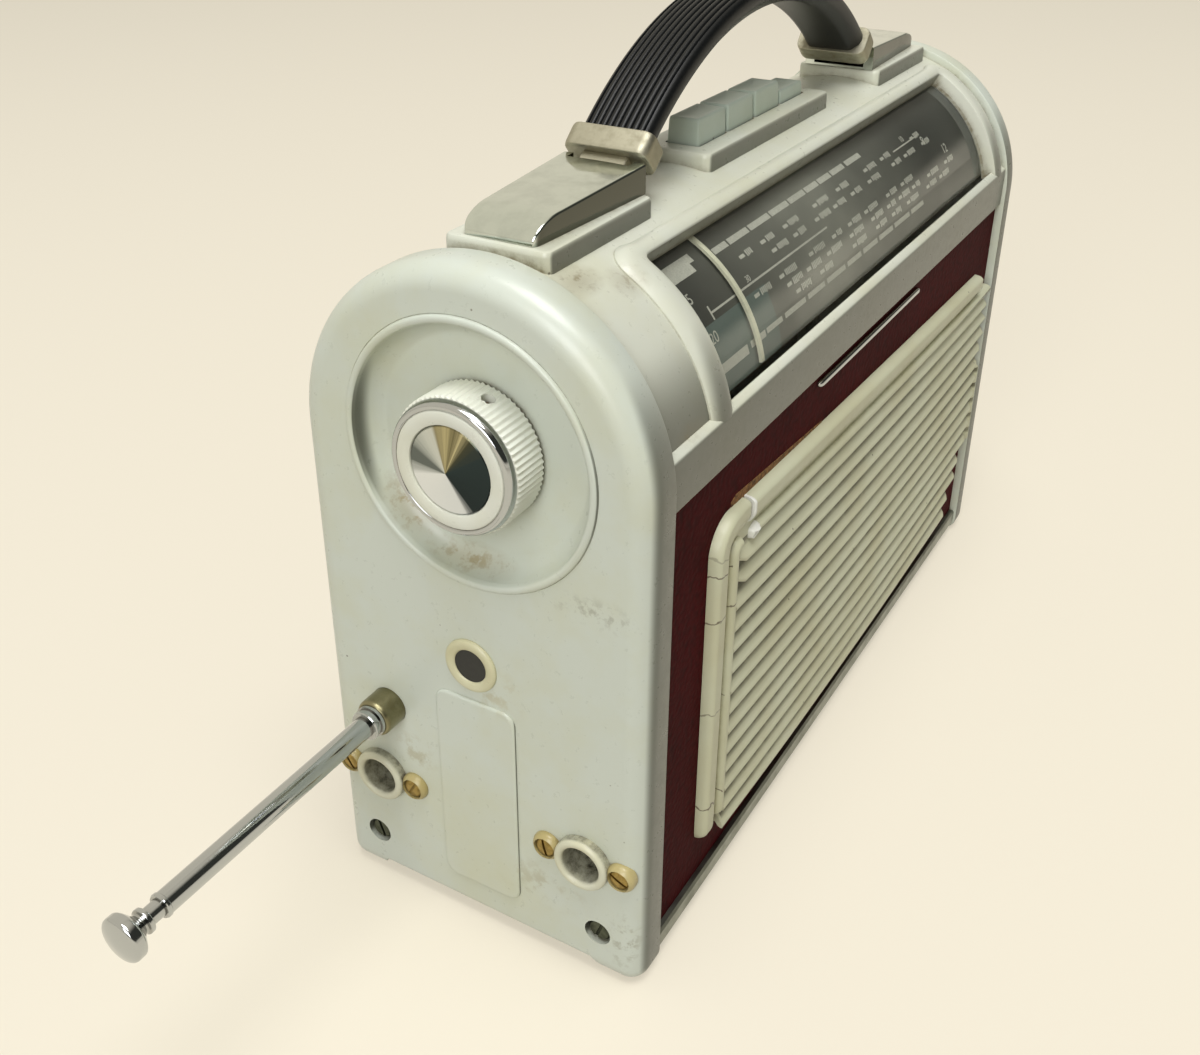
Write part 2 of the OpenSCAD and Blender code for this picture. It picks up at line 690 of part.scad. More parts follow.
module drive_drum() color(cream) {
  rim = 3;
  spoke = 6;
  axle_r = cap_axis_r;
  difference() {
    pin_y(drum_x, drum_y0, drum_y0 + drum_t, drum_z, drum_r + 1);
    pin_y(drum_x, drum_y0 - 1, drum_y0 + drum_t / 2 - 1, drum_z, drum_r - rim);
    pin_y(drum_x, drum_y0 + drum_t / 2 + 1, drum_y0 + drum_t + 1, drum_z, drum_r - rim);
    // Cord groove
    translate([drum_x, drum_y0, drum_z]) rotate([-90, 0, 0]) rotate_extrude($fn = 96)
      polygon([[drum_r + 2, drum_t / 2 - 2], [drum_r - 0.5, drum_t / 2 - 1], [drum_r - 0.5, drum_t / 2 + 1], [drum_r + 2, drum_t / 2 + 2]]);
    for (a = [0:60:300]) translate([drum_x, 0, drum_z]) rotate([0, a, 0]) pin_y(drum_r * 0.55, drum_y0, drum_y0 + drum_t, 0, spoke);
  }
  difference() {
    pin_y(drum_x, drum_y0, cap_y0 + 3, drum_z, axle_r);
    pin_y(drum_x, drum_y0 + drum_t + 20, drum_y0 + drum_t + 21, drum_z, axle_r);
  }
}

// Half-round plates on the capacitor's own spindle
module capacitor_rotor() color(brass) {
  z = drum_z - 4;
  plates = 7;
  pitch = 2;
  pin_y(drum_x, cap_y0 + 4, cap_y0 + cap_d - box_wall - 0.1, z, cap_axis_r);
  intersection() {
    for (i = [0:plates - 1]) pin_y(drum_x, cap_y0 + 4.2 + i * pitch, cap_y0 + 4.8 + i * pitch, z, 12);
    block(drum_x - 13, drum_x + 13, cap_y0, cap_y0 + cap_d, z - 2, z + 13);
  }
}

// Open metal frame of the gang capacitor
module capacitor_frame() color(steel) difference() {
  block(cap_x0, cap_x0 + cap_w, cap_y0, cap_y0 + cap_d, shelf_z, shelf_z + cap_h);
  block(cap_x0 + box_wall, cap_x0 + cap_w - box_wall, cap_y0 + 3.5, cap_y0 + cap_d - box_wall, shelf_z + box_wall, shelf_z + cap_h - box_wall);
  pin_y(drum_x, cap_y0 - 1, cap_y0 + 4, drum_z, cap_axis_r + running);
}

// Key cap with a hollow top, on a flat stem that works the switch below
module push_key(i) {
  x = (i - 1.5) * key_pitch;
  down = i == 3 ? key_travel : 0;
  top_d = key_d - 2.4;
  hollow = 0.9;
  zt = pad_top + key_h;
  translate([0, 0, -down]) {
    along_x(x - key_w / 2, x + key_w / 2)
      polygon(concat([[-key_d / 2, pad_top - key_skirt], [key_d / 2, pad_top - key_skirt], [key_d / 2, pad_top], [top_d / 2 + 0.4, zt - 0.4]],
        [for (t = [1:-0.125:-1]) [t * top_d / 2, zt - hollow * (1 - t * t)]],
        [[-top_d / 2 - 0.4, zt - 0.4], [-key_d / 2, pad_top]]));
    block(x - stem_w / 2, x + stem_w / 2, -stem_d / 2, stem_d / 2, stem_end, pad_top - key_skirt + eps);
  }
}

module push_key_1() color(key_green) push_key(0);
module push_key_2() color(key_green) push_key(1);
module push_key_3() color(key_green) push_key(2);
module push_key_4() color(key_green) push_key(3);

// Switch frame hung from the shell under the keys
module switch_bank() color(nickel) {
  z0 = bank_top - bank_h;
  difference() {
    union() {
      block(-bank_half_l, bank_half_l, -bank_half_w, bank_half_w, bank_top - bank_plate, bank_top);
      block(-bank_half_l, bank_half_l, -bank_half_w, bank_half_w, z0, z0 + bank_plate);
      for (s = [-1, 1]) block(s * bank_half_l - (s > 0 ? bank_plate : 0), s * bank_half_l + (s > 0 ? 0 : bank_plate), -bank_half_w, bank_half_w, z0, bank_top);
      block(-bank_half_l, bank_half_l, bank_half_w - bank_plate, bank_half_w, z0, bank_top);
      for (s = [-1, 1]) block(s * (pad_half_l - 2) - 1, s * (pad_half_l - 2) + 1, -bank_half_w + 3, bank_half_w - 3, bank_top - eps, pad_under);
    }
    for (i = [0:3]) {
      x = (i - 1.5) * key_pitch;
      block(x - stem_w / 2 - stem_gap, x + stem_w / 2 + stem_gap, -stem_d / 2 - stem_gap, stem_d / 2 + stem_gap, bank_top - bank_plate - 1, bank_top + 1);
    }
  }
}

// Strap section: grooved crown, round flanks and a flat underside, as [across, out from the middle]
function strap_section() = let (flat = strap_w * 0.85, h = strap_t / 2) concat(
  [[-flat / 2, -h + 0.8], [-flat / 2 + 1, -h], [flat / 2 - 1, -h], [flat / 2, -h + 0.8]],
  [[strap_w / 2, 0], [strap_w / 2, h * 0.45], [flat / 2, h * 0.9]],
  [for (i = [0:grooves * 3]) let (u = 1 - 2 * i / (grooves * 3)) [u * flat / 2 * 0.94, h * (1 - 0.12 * u * u) - (i % 3 == 1 ? 0.7 : 0)]],
  [[-flat / 2, h * 0.9], [-strap_w / 2, h * 0.45], [-strap_w / 2, 0]]);

module handle_strap() color(strap_black)
  translate([0, 0, strap_cz]) rotate([-90, 0, 0]) rotate([0, 0, -90 - strap_a])
    rotate_extrude(angle = 2 * strap_a, $fn = 180) polygon([for (p = strap_section()) [strap_rm + p[1], p[0]]]);

// Flattened tube over one end of the strap, with a knuckle for its pin, drawn for the left end
module ferrule() {
  grip = 4.5;
  wall_end = grip + 0.02;
  knuckle = [-pin_x, pin_z];
  translate([-handle_half, 0, strap_end_z]) rotate([0, -strap_a, 0]) difference() {
    translate([grip - ferrule_l, 0, 0]) rotate([90, 0, 90]) linear_extrude(ferrule_l) union() {
      square([ferrule_w - ferrule_t, ferrule_t], center = true);
      for (s = [-1, 1]) translate([s * (ferrule_w - ferrule_t) / 2, 0]) circle(d = ferrule_t);
    }
    translate([0, -strap_w / 2 - 0.3, -strap_t / 2 - 0.15]) cube([wall_end + 4, strap_w + 0.6, strap_t + 0.3]);
  }
  difference() {
    union() {
      pin_y(knuckle[0], -knuckle_w / 2, knuckle_w / 2, knuckle[1], knuckle_r);
      along_y(-knuckle_w / 2, knuckle_w / 2) polygon([[knuckle[0] - 0.6, knuckle[1] - knuckle_r + 0.1], [knuckle[0] + 4, knuckle[1] - 0.4],
        [-handle_half - 0.8, strap_end_z - 2.4], [-handle_half - 2.6, strap_end_z + 0.6], [knuckle[0] - 1, knuckle[1] + knuckle_r - 0.2]]);
    }
    pin_y(knuckle[0], -ferrule_w, ferrule_w, knuckle[1], pin_r + running);
  }
}

module handle_ferrules() color(nickel) for (side = [-1, 1]) mirror_right(side) ferrule();

// Wedge-shaped shoe with a curved nose, open at its tall end, drawn for the left end
module handle_shoe() {
  x0 = -shoe_pad_x0 - shoe_l + 0.6;
  x1 = -shoe_pad_x0;
  wall = 1.6;
  top_at = function (x) shoe_h0 + (shoe_h1 - shoe_h0) * (x - x0 - shoe_nose) / (x1 - x0 - shoe_nose);
  difference() {
    intersection() {
      along_y(-shoe_w1, shoe_w1) translate([0, shoe_pad_z])
        polygon(concat([[x1, 0], [x0, 0]], [for (a = [180:-10:90]) [x0 + shoe_nose + shoe_nose * cos(a), 0.6 + (shoe_h0 - 0.6) * sin(a)]], [[x1, shoe_h1]]));
      translate([0, 0, shoe_pad_z - 1]) linear_extrude(shoe_h1 + 2)
        polygon([[x0 + 1.2, -shoe_w0 / 2], [x1, -shoe_w1 / 2], [x1, shoe_w1 / 2], [x0 + 1.2, shoe_w0 / 2], [x0, shoe_w0 / 2 - 1.2], [x0, -shoe_w0 / 2 + 1.2]]);
    }
    // Mouth for the knuckle
    along_y(-shoe_w1 / 2 + wall + 1.6, shoe_w1 / 2 - wall - 1.6) translate([0, shoe_pad_z])
      polygon([[x1 + 1, 0.7], [x1 - 9, 0.7], [x1 - 9, top_at(x1 - 9) - wall], [x1 - 3.2, top_at(x1 - 3.2) - 1.2], [x1 - 3.2, shoe_h1 + 1], [x1 + 1, shoe_h1 + 1]]);
    pin_y(-pin_x, -shoe_w1, shoe_w1, pin_z, pin_r);
  }
}

module left_handle_shoe() color(bright) handle_shoe();
module right_handle_shoe() color(bright) mirror_right(1) handle_shoe();
module handle_pins() color(steel) for (side = [-1, 1]) mirror_right(side)
  pin_y(-pin_x, -shoe_w1 / 2 + 0.3, shoe_w1 / 2 - 0.3, pin_z, pin_r);

module antenna_sleeve() color(nickel) difference() {
  union() {
    pin_x(-half_l - sleeve_out, -half_l + panel_wall + 5, aerial_y, aerial_z, tube_r + 0.85);
    pin_x(-half_l + panel_wall, -half_l + panel_wall + 2, aerial_y, aerial_z, tube_r + 3);
  }
  pin_x(-half_l - sleeve_out - 1, -half_l + panel_wall + 6, aerial_y, aerial_z, tube_r);
}

// One aerial tube with a rolled lip at its outer end
module aerial_tube(x0, x1, r, bore) difference() {
  union() {
    pin_x(x0, x1, aerial_y, aerial_z, r);
    if (r < tube_r) turned_x(aerial_y, aerial_z, [[x0, 0], [x0, r - 0.2], [x0 + 0.4, r + 0.25], [x0 + 1.1, r + 0.25], [x0 + 1.5, r - 0.2], [x0 + 1.5, 0]]);
  }
  pin_x(x0 - 1, x1 + 1, aerial_y, aerial_z, bore);
}

module antenna_outer_tube() color(bright) aerial_tube(tube_x0, tube_x1, tube_r, section_1_r + running);
module antenna_section_1() color(bright) aerial_tube(section_1_x, section_1_x + section_l + 6, section_1_r, section_2_r + running);
module antenna_section_2() color(bright) aerial_tube(section_2_x, section_2_x + section_l, section_2_r, section_3_r + running);
module antenna_section_3() color(bright) pin_x(section_3_x, section_3_x + section_l - 5, aerial_y, aerial_z, section_3_r);
module antenna_tip() color(bright) turned_x(aerial_y, aerial_z,
  [for (p = [[0, 0], [0, 3.3], [-1.2, 3.3], [-1.8, 2.6], [-2.6, 3], [-4.6, 5.6], [-5.2, 6], [-7.4, 6], [-7.8, 5.5], [-8.6, 3.2], [-9, 0]])
    [section_3_x + p[0], p[1]]]);

// Round socket with two screw ears, drawn at either side of the panel
module round_socket(y) difference() {
  union() {
    turned_x(y, socket_z, [[-half_l + socket_depth + 1.5, 0], [-half_l + socket_depth + 1.5, socket_body_r], [-half_l, socket_body_r],
      [-half_l, flange_r], [-half_l - flange_out + 1.2, flange_r], [-half_l - flange_out, flange_r - 1.2], [-half_l - flange_out, 0]]);
    for (e = [-1, 1]) pin_x(-half_l - ear_out, -half_l + ear_sunk, y + e * ear_offset, socket_z, ear_r);
  }
  pin_x(-half_l - flange_out - 1, -half_l + bore_depth, y, socket_z, socket_bore_r);
  pin_x(-half_l, -half_l + socket_depth, y, socket_z, contact_r);
  for (e = [-1, 1]) {
    pin_x(-half_l - ear_out - 1, -half_l + ear_sunk + 1, y + e * ear_offset, socket_z, ear_screw_r + running);
    pin_x(-half_l - ear_out - 1, -half_l - ear_out + 0.8, y + e * ear_offset, socket_z, 3.1);
  }
}

module antenna_socket() color(cream) round_socket(socket_y);
module gramophone_socket() color(cream) round_socket(-socket_y);

// Brass contact at the bottom of each socket, with its centre pin
module socket_contacts() color(brass) for (s = [-1, 1]) {
  pin_x(-half_l + socket_depth - 1.2, -half_l + socket_depth, s * socket_y, socket_z, contact_r);
  pin_x(-half_l + bore_depth + 0.2, -half_l + socket_depth - 1, s * socket_y, socket_z, 1.4);
}

module socket_screws() color(brass) for (s = [-1, 1]) for (e = [-1, 1])
  translate([-half_l - ear_out + 0.8, s * socket_y + e * ear_offset, socket_z]) rotate([0, -90, 0]) rotate([0, 0, 50 + 35 * s * e]) {
    slotted_head(3, 1.6, 0.7);
    translate([0, 0, -panel_wall - 3]) cylinder(r = ear_screw_r, h = panel_wall + 3 + eps);
  }

module port_bezel() color("#c9c09a") turned_x(port_y, port_z, [[-half_l, port_ri], [-half_l, port_r], [-half_l - 0.7, port_r],
  [-half_l - 1.3, port_r - 0.7], [-half_l - 1.3, port_ri + 0.5], [-half_l - 0.8, port_ri]]);

module port_plug() color(dark) {
  pin_x(-half_l - 0.5, -half_l + panel_wall, port_y, port_z, port_ri - 0.05);
  pin_x(-half_l + panel_wall, -half_l + panel_wall + 1.5, port_y, port_z, port_ri + 1.6);
}

// Folded steel frame: three posts on the bottom plate and a shelf across them
module chassis() color(steel) {
  shelf_x0 = cap_x0 - 5;
  shelf_x1 = inner_x - 1;
  difference() {
    union() {
      block(shelf_x0, shelf_x1, post_y, rear_y - board_t - 2, shelf_z - shelf_t, shelf_z);
      for (x = [-56, 6, shelf_x1 - post_w + 2]) {
        block(x, x + post_w - 4, post_y, post_y + post_t, floor_z, shelf_z);
        block(x - 2, x + post_w - 2, post_y - 8, post_y + post_t, floor_z, floor_z + shelf_t);
      }
      // Clip for the inner end of the aerial tube
      block(6, 12, post_y + post_t - eps, aerial_y, aerial_z - 4, aerial_z + 4);
      pin_x(6, 12, aerial_y, aerial_z, tube_r + 1.4);
    }
    pin_x(5, 13, aerial_y, aerial_z, tube_r);
  }
}

module circuit_board() color("#7a5a2e")
  block(pcb_x0, pcb_x0 + pcb_l, post_y + post_t, post_y + post_t + 1.6, pcb_z0, shelf_z - shelf_t - 0.5);

module if_cans() color(bright) for (i = [0:4]) {
  can = 10;
  x = pcb_x0 + pcb_l * (0.1375 + 0.175 * i);
  y = post_y + post_t + 1.6;
  z = shelf_z - 34 + 6 * (i % 2);
  block(x, x + can, y, y + can + 2, z, z + can);
}

module ferrite_rod() color(dark) pin_x(-ferrite_l / 2, ferrite_l / 2, ferrite_y, ferrite_z, ferrite_r);

module ferrite_coils() color("#b5793a") for (x = [10 - ferrite_l / 2, 30, 62]) difference() {
  pin_x(x, x + 22, ferrite_y, ferrite_z, ferrite_r + 1.5);
  pin_x(x - 1, x + 23, ferrite_y, ferrite_z, ferrite_r);
}

module ferrite_holders() color(cream) for (x = [-30, ferrite_l / 2 - 10]) difference() {
  block(x, x + 5, ferrite_y - 3, ferrite_y + 8, shelf_z, ferrite_z + 2);
  pin_x(x - 1, x + 6, ferrite_y, ferrite_z, ferrite_r);
}

// Loudspeaker: pressed frame and magnet behind the front panel
module speaker_frame() color(steel) {
  y0 = front_y + board_t;
  translate([speaker_x, y0, speaker_z]) rotate([-90, 0, 0]) rotate_extrude($fn = 96)
    polygon([[speaker_r - 6, 0], [speaker_r, 0], [speaker_r, 1.2], [speaker_r - 4.6, 1.2], [basket_r, 14], [magnet_r + 3, 23],
      [magnet_r + 3, 26], [magnet_r, 26], [magnet_r, 40], [0, 40], [0, 24], [magnet_r + 1, 21.5], [basket_r - 2, 13], [speaker_r - 6, 0.9]]);
}

module speaker_cone() color("#3a3128") {
  y0 = front_y + board_t;
  rim = speaker_r - 8;
  coil_r = speaker_r - 38;
  translate([speaker_x, y0, speaker_z]) rotate([-90, 0, 0]) rotate_extrude($fn = 96)
    polygon([[speaker_r - 6, 0.2], [speaker_r - 6, 0.8], [rim, 0.8], [rim - 2, 1.8], [basket_r + 0.6, 1.2], [coil_r, 19], [0, 19], [0, 18.4],
      [coil_r - 0.6, 18.4], [basket_r, 0.4], [rim - 2, 1.1], [rim, 0.2]]);
}

module battery_box() color(dark) {
  l = 2 * cell_l + 6;
  h = 4 * cell_r + 1;
  y1 = rear_y - board_t;
  difference() {
    block(box_x0, box_x0 + l, box_y0, y1, floor_z, floor_z + h + 2 * box_wall);
    block(box_x0 + box_wall, box_x0 + l - box_wall, box_y0 + box_wall, y1 + 1, floor_z + box_wall, floor_z + h + box_wall);
  }
}

module batteries() color("#5c6a74") for (i = [0, 1]) for (k = [0, 1]) {
  x = box_x0 + box_wall + 0.6 + i * (cell_l + 0.6);
  z = floor_z + box_wall + cell_r + k * (2 * cell_r + 0.4);
  pin_x(x, x + cell_l - 1.5, box_y0 + box_wall + cell_r, z, cell_r);
  pin_x(x + cell_l - 1.5 - eps, x + cell_l, box_y0 + box_wall + cell_r, z, 3);
}

place() left_end_panel();
place() right_end_panel();
place() top_shell();
place() bottom_plate();
place() front_panel();
place() rear_cover();
place() cover_screws();
place() panel_screws();
place() bottom_trim();
place() grille();
place() speaker_cloth();
place() dial_window();
place() dial_plate();
place() pointer();
place() pointer_rail();
place() tuning_knob();
place() tuning_knob_ring();
place() tuning_knob_cap();
place() tuning_knob_screw();
place() tuning_shaft();
place() volume_knob();
place() volume_knob_ring();
place() volume_knob_cap();
place() volume_shaft();
place() volume_control();
place() drive_drum();
place() capacitor_rotor();
place() capacitor_frame();
place() push_key_1();
place() push_key_2();
place() push_key_3();
place() push_key_4();
place() switch_bank();
place() handle_strap();
place() handle_ferrules();
place() left_handle_shoe();
place() right_handle_shoe();
place() handle_pins();
place() antenna_sleeve();
place() antenna_outer_tube();
place() antenna_section_1();
place() antenna_section_2();
place() antenna_section_3();
place() antenna_tip();
place() antenna_socket();
place() gramophone_socket();
place() socket_contacts();
place() socket_screws();
place() port_bezel();
place() port_plug();
place() chassis();
place() circuit_board();
place() if_cans();
place() ferrite_rod();
place() ferrite_coils();
place() ferrite_holders();
place() speaker_frame();
place() speaker_cone();
place() battery_box();
place() batteries();
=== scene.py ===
import math

import bmesh
import bpy
import numpy as np
from mathutils import Matrix, Vector


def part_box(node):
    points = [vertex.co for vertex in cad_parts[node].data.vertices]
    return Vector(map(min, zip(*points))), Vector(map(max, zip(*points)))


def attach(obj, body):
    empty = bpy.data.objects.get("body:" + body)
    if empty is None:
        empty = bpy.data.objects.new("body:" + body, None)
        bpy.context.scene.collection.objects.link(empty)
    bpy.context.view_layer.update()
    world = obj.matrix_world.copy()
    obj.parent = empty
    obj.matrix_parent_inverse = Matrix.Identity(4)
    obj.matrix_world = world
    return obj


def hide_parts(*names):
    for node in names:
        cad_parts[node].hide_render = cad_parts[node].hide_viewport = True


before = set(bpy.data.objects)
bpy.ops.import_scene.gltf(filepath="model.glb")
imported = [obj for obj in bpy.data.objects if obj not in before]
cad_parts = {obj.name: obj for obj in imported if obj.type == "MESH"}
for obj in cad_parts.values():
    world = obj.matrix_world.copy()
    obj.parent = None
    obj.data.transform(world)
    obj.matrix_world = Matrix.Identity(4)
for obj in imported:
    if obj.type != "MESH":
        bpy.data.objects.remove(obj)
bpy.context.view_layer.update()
print("frame loaded:", len(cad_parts), "nodes")

# Shapes are worked out in millimetres about the middle of the case, and set down in the frame by adding
# where the top shell's middle lies
mm = 0.001
shellLow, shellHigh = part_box("top_shell")
caseMiddle = np.array([(shellLow.x + shellHigh.x) / 2, (shellLow.y + shellHigh.y) / 2, 0.0])

case = {
    "halfLength": 145.0, "innerX": 133.0, "archRadius": 50.0, "archZ": 147.0, "edge": 6.0,
    "shellRadius": 47.5, "shellInner": 45.0, "frontY": -47.0, "bandZ": 142.0, "bandTop": 157.0,
}
face = -case["halfLength"]  # where the left panel's outer face lies along X


# Meshes: a part is a pair of points and faces


def skin(points, capStart=True, capEnd=True, wrapRows=False):
    # A surface of quads over rows of points, each row a closed loop, with a flat cap on its first or last
    rows, columns = points.shape[:2]
    i, j = np.indices((rows if wrapRows else rows - 1, columns)).reshape(2, -1)
    below, beside = (i + 1) % rows, (j + 1) % columns
    quads = [i * columns + j, i * columns + beside, below * columns + beside, below * columns + j]
    faces = np.stack(quads, 1).tolist()
    if capStart:
        faces.append(list(range(columns)))
    if capEnd:
        faces.append(list(range((rows - 1) * columns, rows * columns)))
    return points.reshape(-1, 3), faces


def softened(points, radius, steps=4, closed=True):
    # Turns each corner into a quadratic curve that leaves the line `radius` before it and meets it as far
    # after it, neither beyond 0.49 of the side
    points = np.array(points, float)
    reach = np.broadcast_to(np.array(radius, float), (len(points),))
    ends = []
    for turn in (1, -1):
        way = np.roll(points, turn, 0) - points
        length = np.linalg.norm(way, axis=1)
        ends.append((points + way * (np.minimum(reach, length * 0.49) / length)[:, None])[:, None])
    t = np.linspace(0, 1, steps + 1)[None, :, None]
    curve = (1 - t) ** 2 * ends[0] + 2 * t * (1 - t) * points[:, None] + t**2 * ends[1]
    if closed:
        return curve.reshape(-1, points.shape[1])
    return np.vstack([points[:1], curve[1:-1].reshape(-1, points.shape[1]), points[-1:]])


def sweep(profile, path, across, out, sizes=None, pivot=(0, 0)):
    # Carries a closed profile along a path: path + across * first + out * second number of each point,
    # with both numbers scaled about the pivot by the sizes at each step of the path
    profile, path, pivot = np.array(profile, float), np.array(path, float), np.array(pivot, float)
    across, out = (np.broadcast_to(np.array(way, float), path.shape)[:, None] for way in (across, out))
    sizes = np.ones((len(path), 2)) if sizes is None else np.array(sizes, float)
    uv = pivot + (profile[None] - pivot) * sizes[:, None]
    return skin(path[:, None] + uv[..., :1] * across + uv[..., 1:] * out)


def turned(profile, centre, axis="x", segments=96, ripple=None, closed=False):
    # Turns a profile of (distance along the axis, radius) points about a line through centre; a ripple is
    # added to the radius by angle, times the point's third number; closed joins the profile to a ring
    profile = np.array(profile, float)
    if closed:
        profile = np.vstack([profile, profile[:1]])
    angle = np.linspace(0, 2 * np.pi, segments, endpoint=False)
    radius = np.repeat(profile[:, 1:2], segments, 1)
    if ripple is not None:
        radius = radius + ripple(angle)[None, :] * profile[:, 2:3]
    along = np.repeat(profile[:, :1], segments, 1)
    a, b = radius * np.cos(angle), radius * np.sin(angle)
    order = {"x": (along, a, b), "y": (b, along, a), "z": (a, b, along)}[axis]
    return skin(np.stack(order, -1) + np.array(centre, float), False, False)


def roundedLoop(halfX, halfY, corner, steps=6):
    # A rectangle with round corners as a closed loop of (x, y) points about its middle
    corner = min(corner, halfX, halfY)
    angle = np.add.outer(np.arange(4), np.linspace(0, 1, steps + 1)) * np.pi / 2
    signs = np.array([[1, 1], [-1, 1], [-1, -1], [1, -1]])
    middles = signs * [halfX - corner, halfY - corner]
    return (middles[:, None] + corner * np.stack([np.cos(angle), np.sin(angle)], -1)).reshape(-1, 2)


def mound(centre, halfX, halfY, corner, walls, crown, top, steps=6, shrink=(0.8, 0.55, 0.3, 0.1)):
    # A raised form with a round-cornered plan. walls gives (inset, height) from its foot up, crown gives
    # (inset, height over the top surface) round its edge, top(x, y) is the top surface itself, and shrink
    # the sizes of the loops on it, as shares of the crown's last loop
    loops = []
    for inset, z in walls + crown:
        loop = roundedLoop(halfX - inset, halfY - inset, max(corner - inset, 0.15), steps)
        lift = top(*loop.T) if len(loops) >= len(walls) else np.zeros(len(loop))
        loops.append(np.column_stack([loop, z + lift]))
    edge = loops[-1][:, :2]
    loops += [np.column_stack([edge * share, crown[-1][1] + top(*(edge * share).T)]) for share in shrink]
    return skin(np.array(loops) + [*centre, 0.0])


def level(z):
    # A flat top surface at z, for mound
    return lambda x, y: np.full(x.shape, float(z))


def slab(x0, x1, y0, y1, z0, z1):
    # A flat piece with round corners of 0.5 mm as seen from the front
    path = [[(x0 + x1) / 2, y, (z0 + z1) / 2] for y in (y0, y1)]
    return sweep(roundedLoop((x1 - x0) / 2, (z1 - z0) / 2, 0.5, 3), path, (1, 0, 0), (0, 0, 1))


def moved(part, matrix, shift):
    # A part turned by a 3 by 3 matrix and then shifted
    points, faces = part
    return points @ np.array(matrix, float).T + np.array(shift, float), faces


def mirrored(parts):
    # Parts on the other side of the plane through the case's middle, square to X
    return [(points * np.array([-1, 1, 1]), faces) for points, faces in parts]


def ontoArch(points, radius=case["shellRadius"]):
    # Lays (x, distance round, height) points on a cylinder about the arch's axis, from its top forward
    x, s, h = points[..., 0], points[..., 1], points[..., 2]
    angle = s / radius
    return np.stack([x, -(radius + h) * np.sin(angle), case["archZ"] + (radius + h) * np.cos(angle)], -1)


def archSlab(r0, r1, x0, x1, a0, a1):
    # A curved slab round the arch between two radii, two places along X and two angles from its top, in
    # steps of about 1.5 degrees
    angle = np.radians(np.linspace(a0, a1, int(abs(a1 - a0) / 1.5) + 2))
    path = np.tile([0.0, 0.0, case["archZ"]], (len(angle), 1))
    out = np.stack([0 * angle, -np.sin(angle), np.cos(angle)], 1)
    return sweep([[x0, r0], [x1, r0], [x1, r1], [x0, r1]], path, (1, 0, 0), out)


def addObject(name, data):
    # An object in the scene with this mesh, curve, lamp or camera
    holder = bpy.data.objects.new(name, data)
    bpy.context.scene.collection.objects.link(holder)
    return holder


def frozen(holder):
    # The mesh that an object's modifiers or text come out as
    bpy.context.view_layer.update()
    return bpy.data.meshes.new_from_object(holder.evaluated_get(bpy.context.evaluated_depsgraph_get()))


def newMesh(name, parts):
    # Joins parts in millimetres into one mesh in the frame, with doubles merged and faces outward
    faces, count = [], 0
    for points, partFaces in parts:
        faces += [[index + count for index in loop] for loop in partFaces]
        count += len(points)
    points = np.vstack([points for points, _ in parts]) * mm + caseMiddle
    mesh = bpy.data.meshes.new(name)
    mesh.from_pydata(points.tolist(), [], faces)
    work = bmesh.new()
    work.from_mesh(mesh)
    bmesh.ops.remove_doubles(work, verts=work.verts, dist=1e-7)
    bmesh.ops.dissolve_degenerate(work, dist=1e-8, edges=work.edges)
    bmesh.ops.recalc_face_normals(work, faces=work.faces)
    work.to_mesh(mesh)
    work.free()
    return mesh


def newPiece(name, parts, body, material, replaces=(), cutters=(), sharp=32):
    # One finished piece: its mesh, holes cut by the cutters, its edges, its body and material
    piece = addObject(name, newMesh(name, parts))
    if cutters:
        tool = addObject("cutter", newMesh("cutter", cutters))
        cut = piece.modifiers.new("cut", "BOOLEAN")
        cut.operation, cut.solver, cut.object = "DIFFERENCE", "EXACT", tool
        result = frozen(piece)
        piece.modifiers.clear()
        piece.data = result
        bpy.data.objects.remove(tool)
    piece.data.shade_smooth()
    piece.data.set_sharp_from_angle(angle=math.radians(sharp))
    piece.data.materials.clear()
    piece.data.materials.append(material)
    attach(piece, body)
    if replaces:
        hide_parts(*replaces)


# Materials: the first parameter of a node's maker is the material, or the world, that it is for


def linear(hexColour):
    # sRGB hex to the linear colour that the shaders read
    channels = np.array([int(hexColour[k : k + 2], 16) for k in (1, 3, 5)]) / 255
    values = np.where(channels <= 0.04045, channels / 12.92, ((channels + 0.055) / 1.055) ** 2.4)
    return (*[float(v) for v in values], 1.0)


def addNode(mat, kind, inputs=None, **settings):
    # Adds a node; an input takes a value, a node (its first output) or a (node, output) pair
    node = mat.node_tree.nodes.new("ShaderNode" + kind)
    for key, value in settings.items():
        setattr(node, key, value)
    for key, value in (inputs or {}).items():
        if isinstance(value, bpy.types.Node):
            value = (value, 0)
        if isinstance(value, tuple) and isinstance(value[0], bpy.types.Node):
            mat.node_tree.links.new(value[0].outputs[value[1]], node.inputs[key])
        else:
            node.inputs[key].default_value = value
    return node


def newMaterial(name, values):
    # A Principled material with its plain values on the shader's own sockets, and its coordinates
    material = bpy.data.materials.new(name)
    material.use_nodes = True
    shader = material.node_tree.nodes["Principled BSDF"]
    for key, value in values.items():
        shader.inputs[key].default_value = value
    addNode(material, "TexCoord").name = "coordinates"
    return material, shader


def link(mat, source, shader, socket):
    # Leads a node, or a (node, output) pair, into one of the shader's sockets
    node, output = source if isinstance(source, tuple) else (source, 0)
    mat.node_tree.links.new(node.outputs[output], shader.inputs[socket])


def here(mat):
    # The point on the object, in its own coordinates
    return mat.node_tree.nodes["coordinates"], "Object"


def maths(mat, operation, first, second=0.5, **settings):
    # One sum; an operation on one value leaves the second unread
    return addNode(mat, "Math", {0: first, 1: second}, operation=operation, **settings)


def product(mat, first, second):
    # first * second
    return maths(mat, "MULTIPLY", first, second)


def ranged(mat, source, low, high, first, last, **settings):
    # Carries the stretch from low to high onto that from first to last, held at both ends
    return addNode(mat, "MapRange", {0: source, 1: low, 2: high, 3: first, 4: last}, **settings)


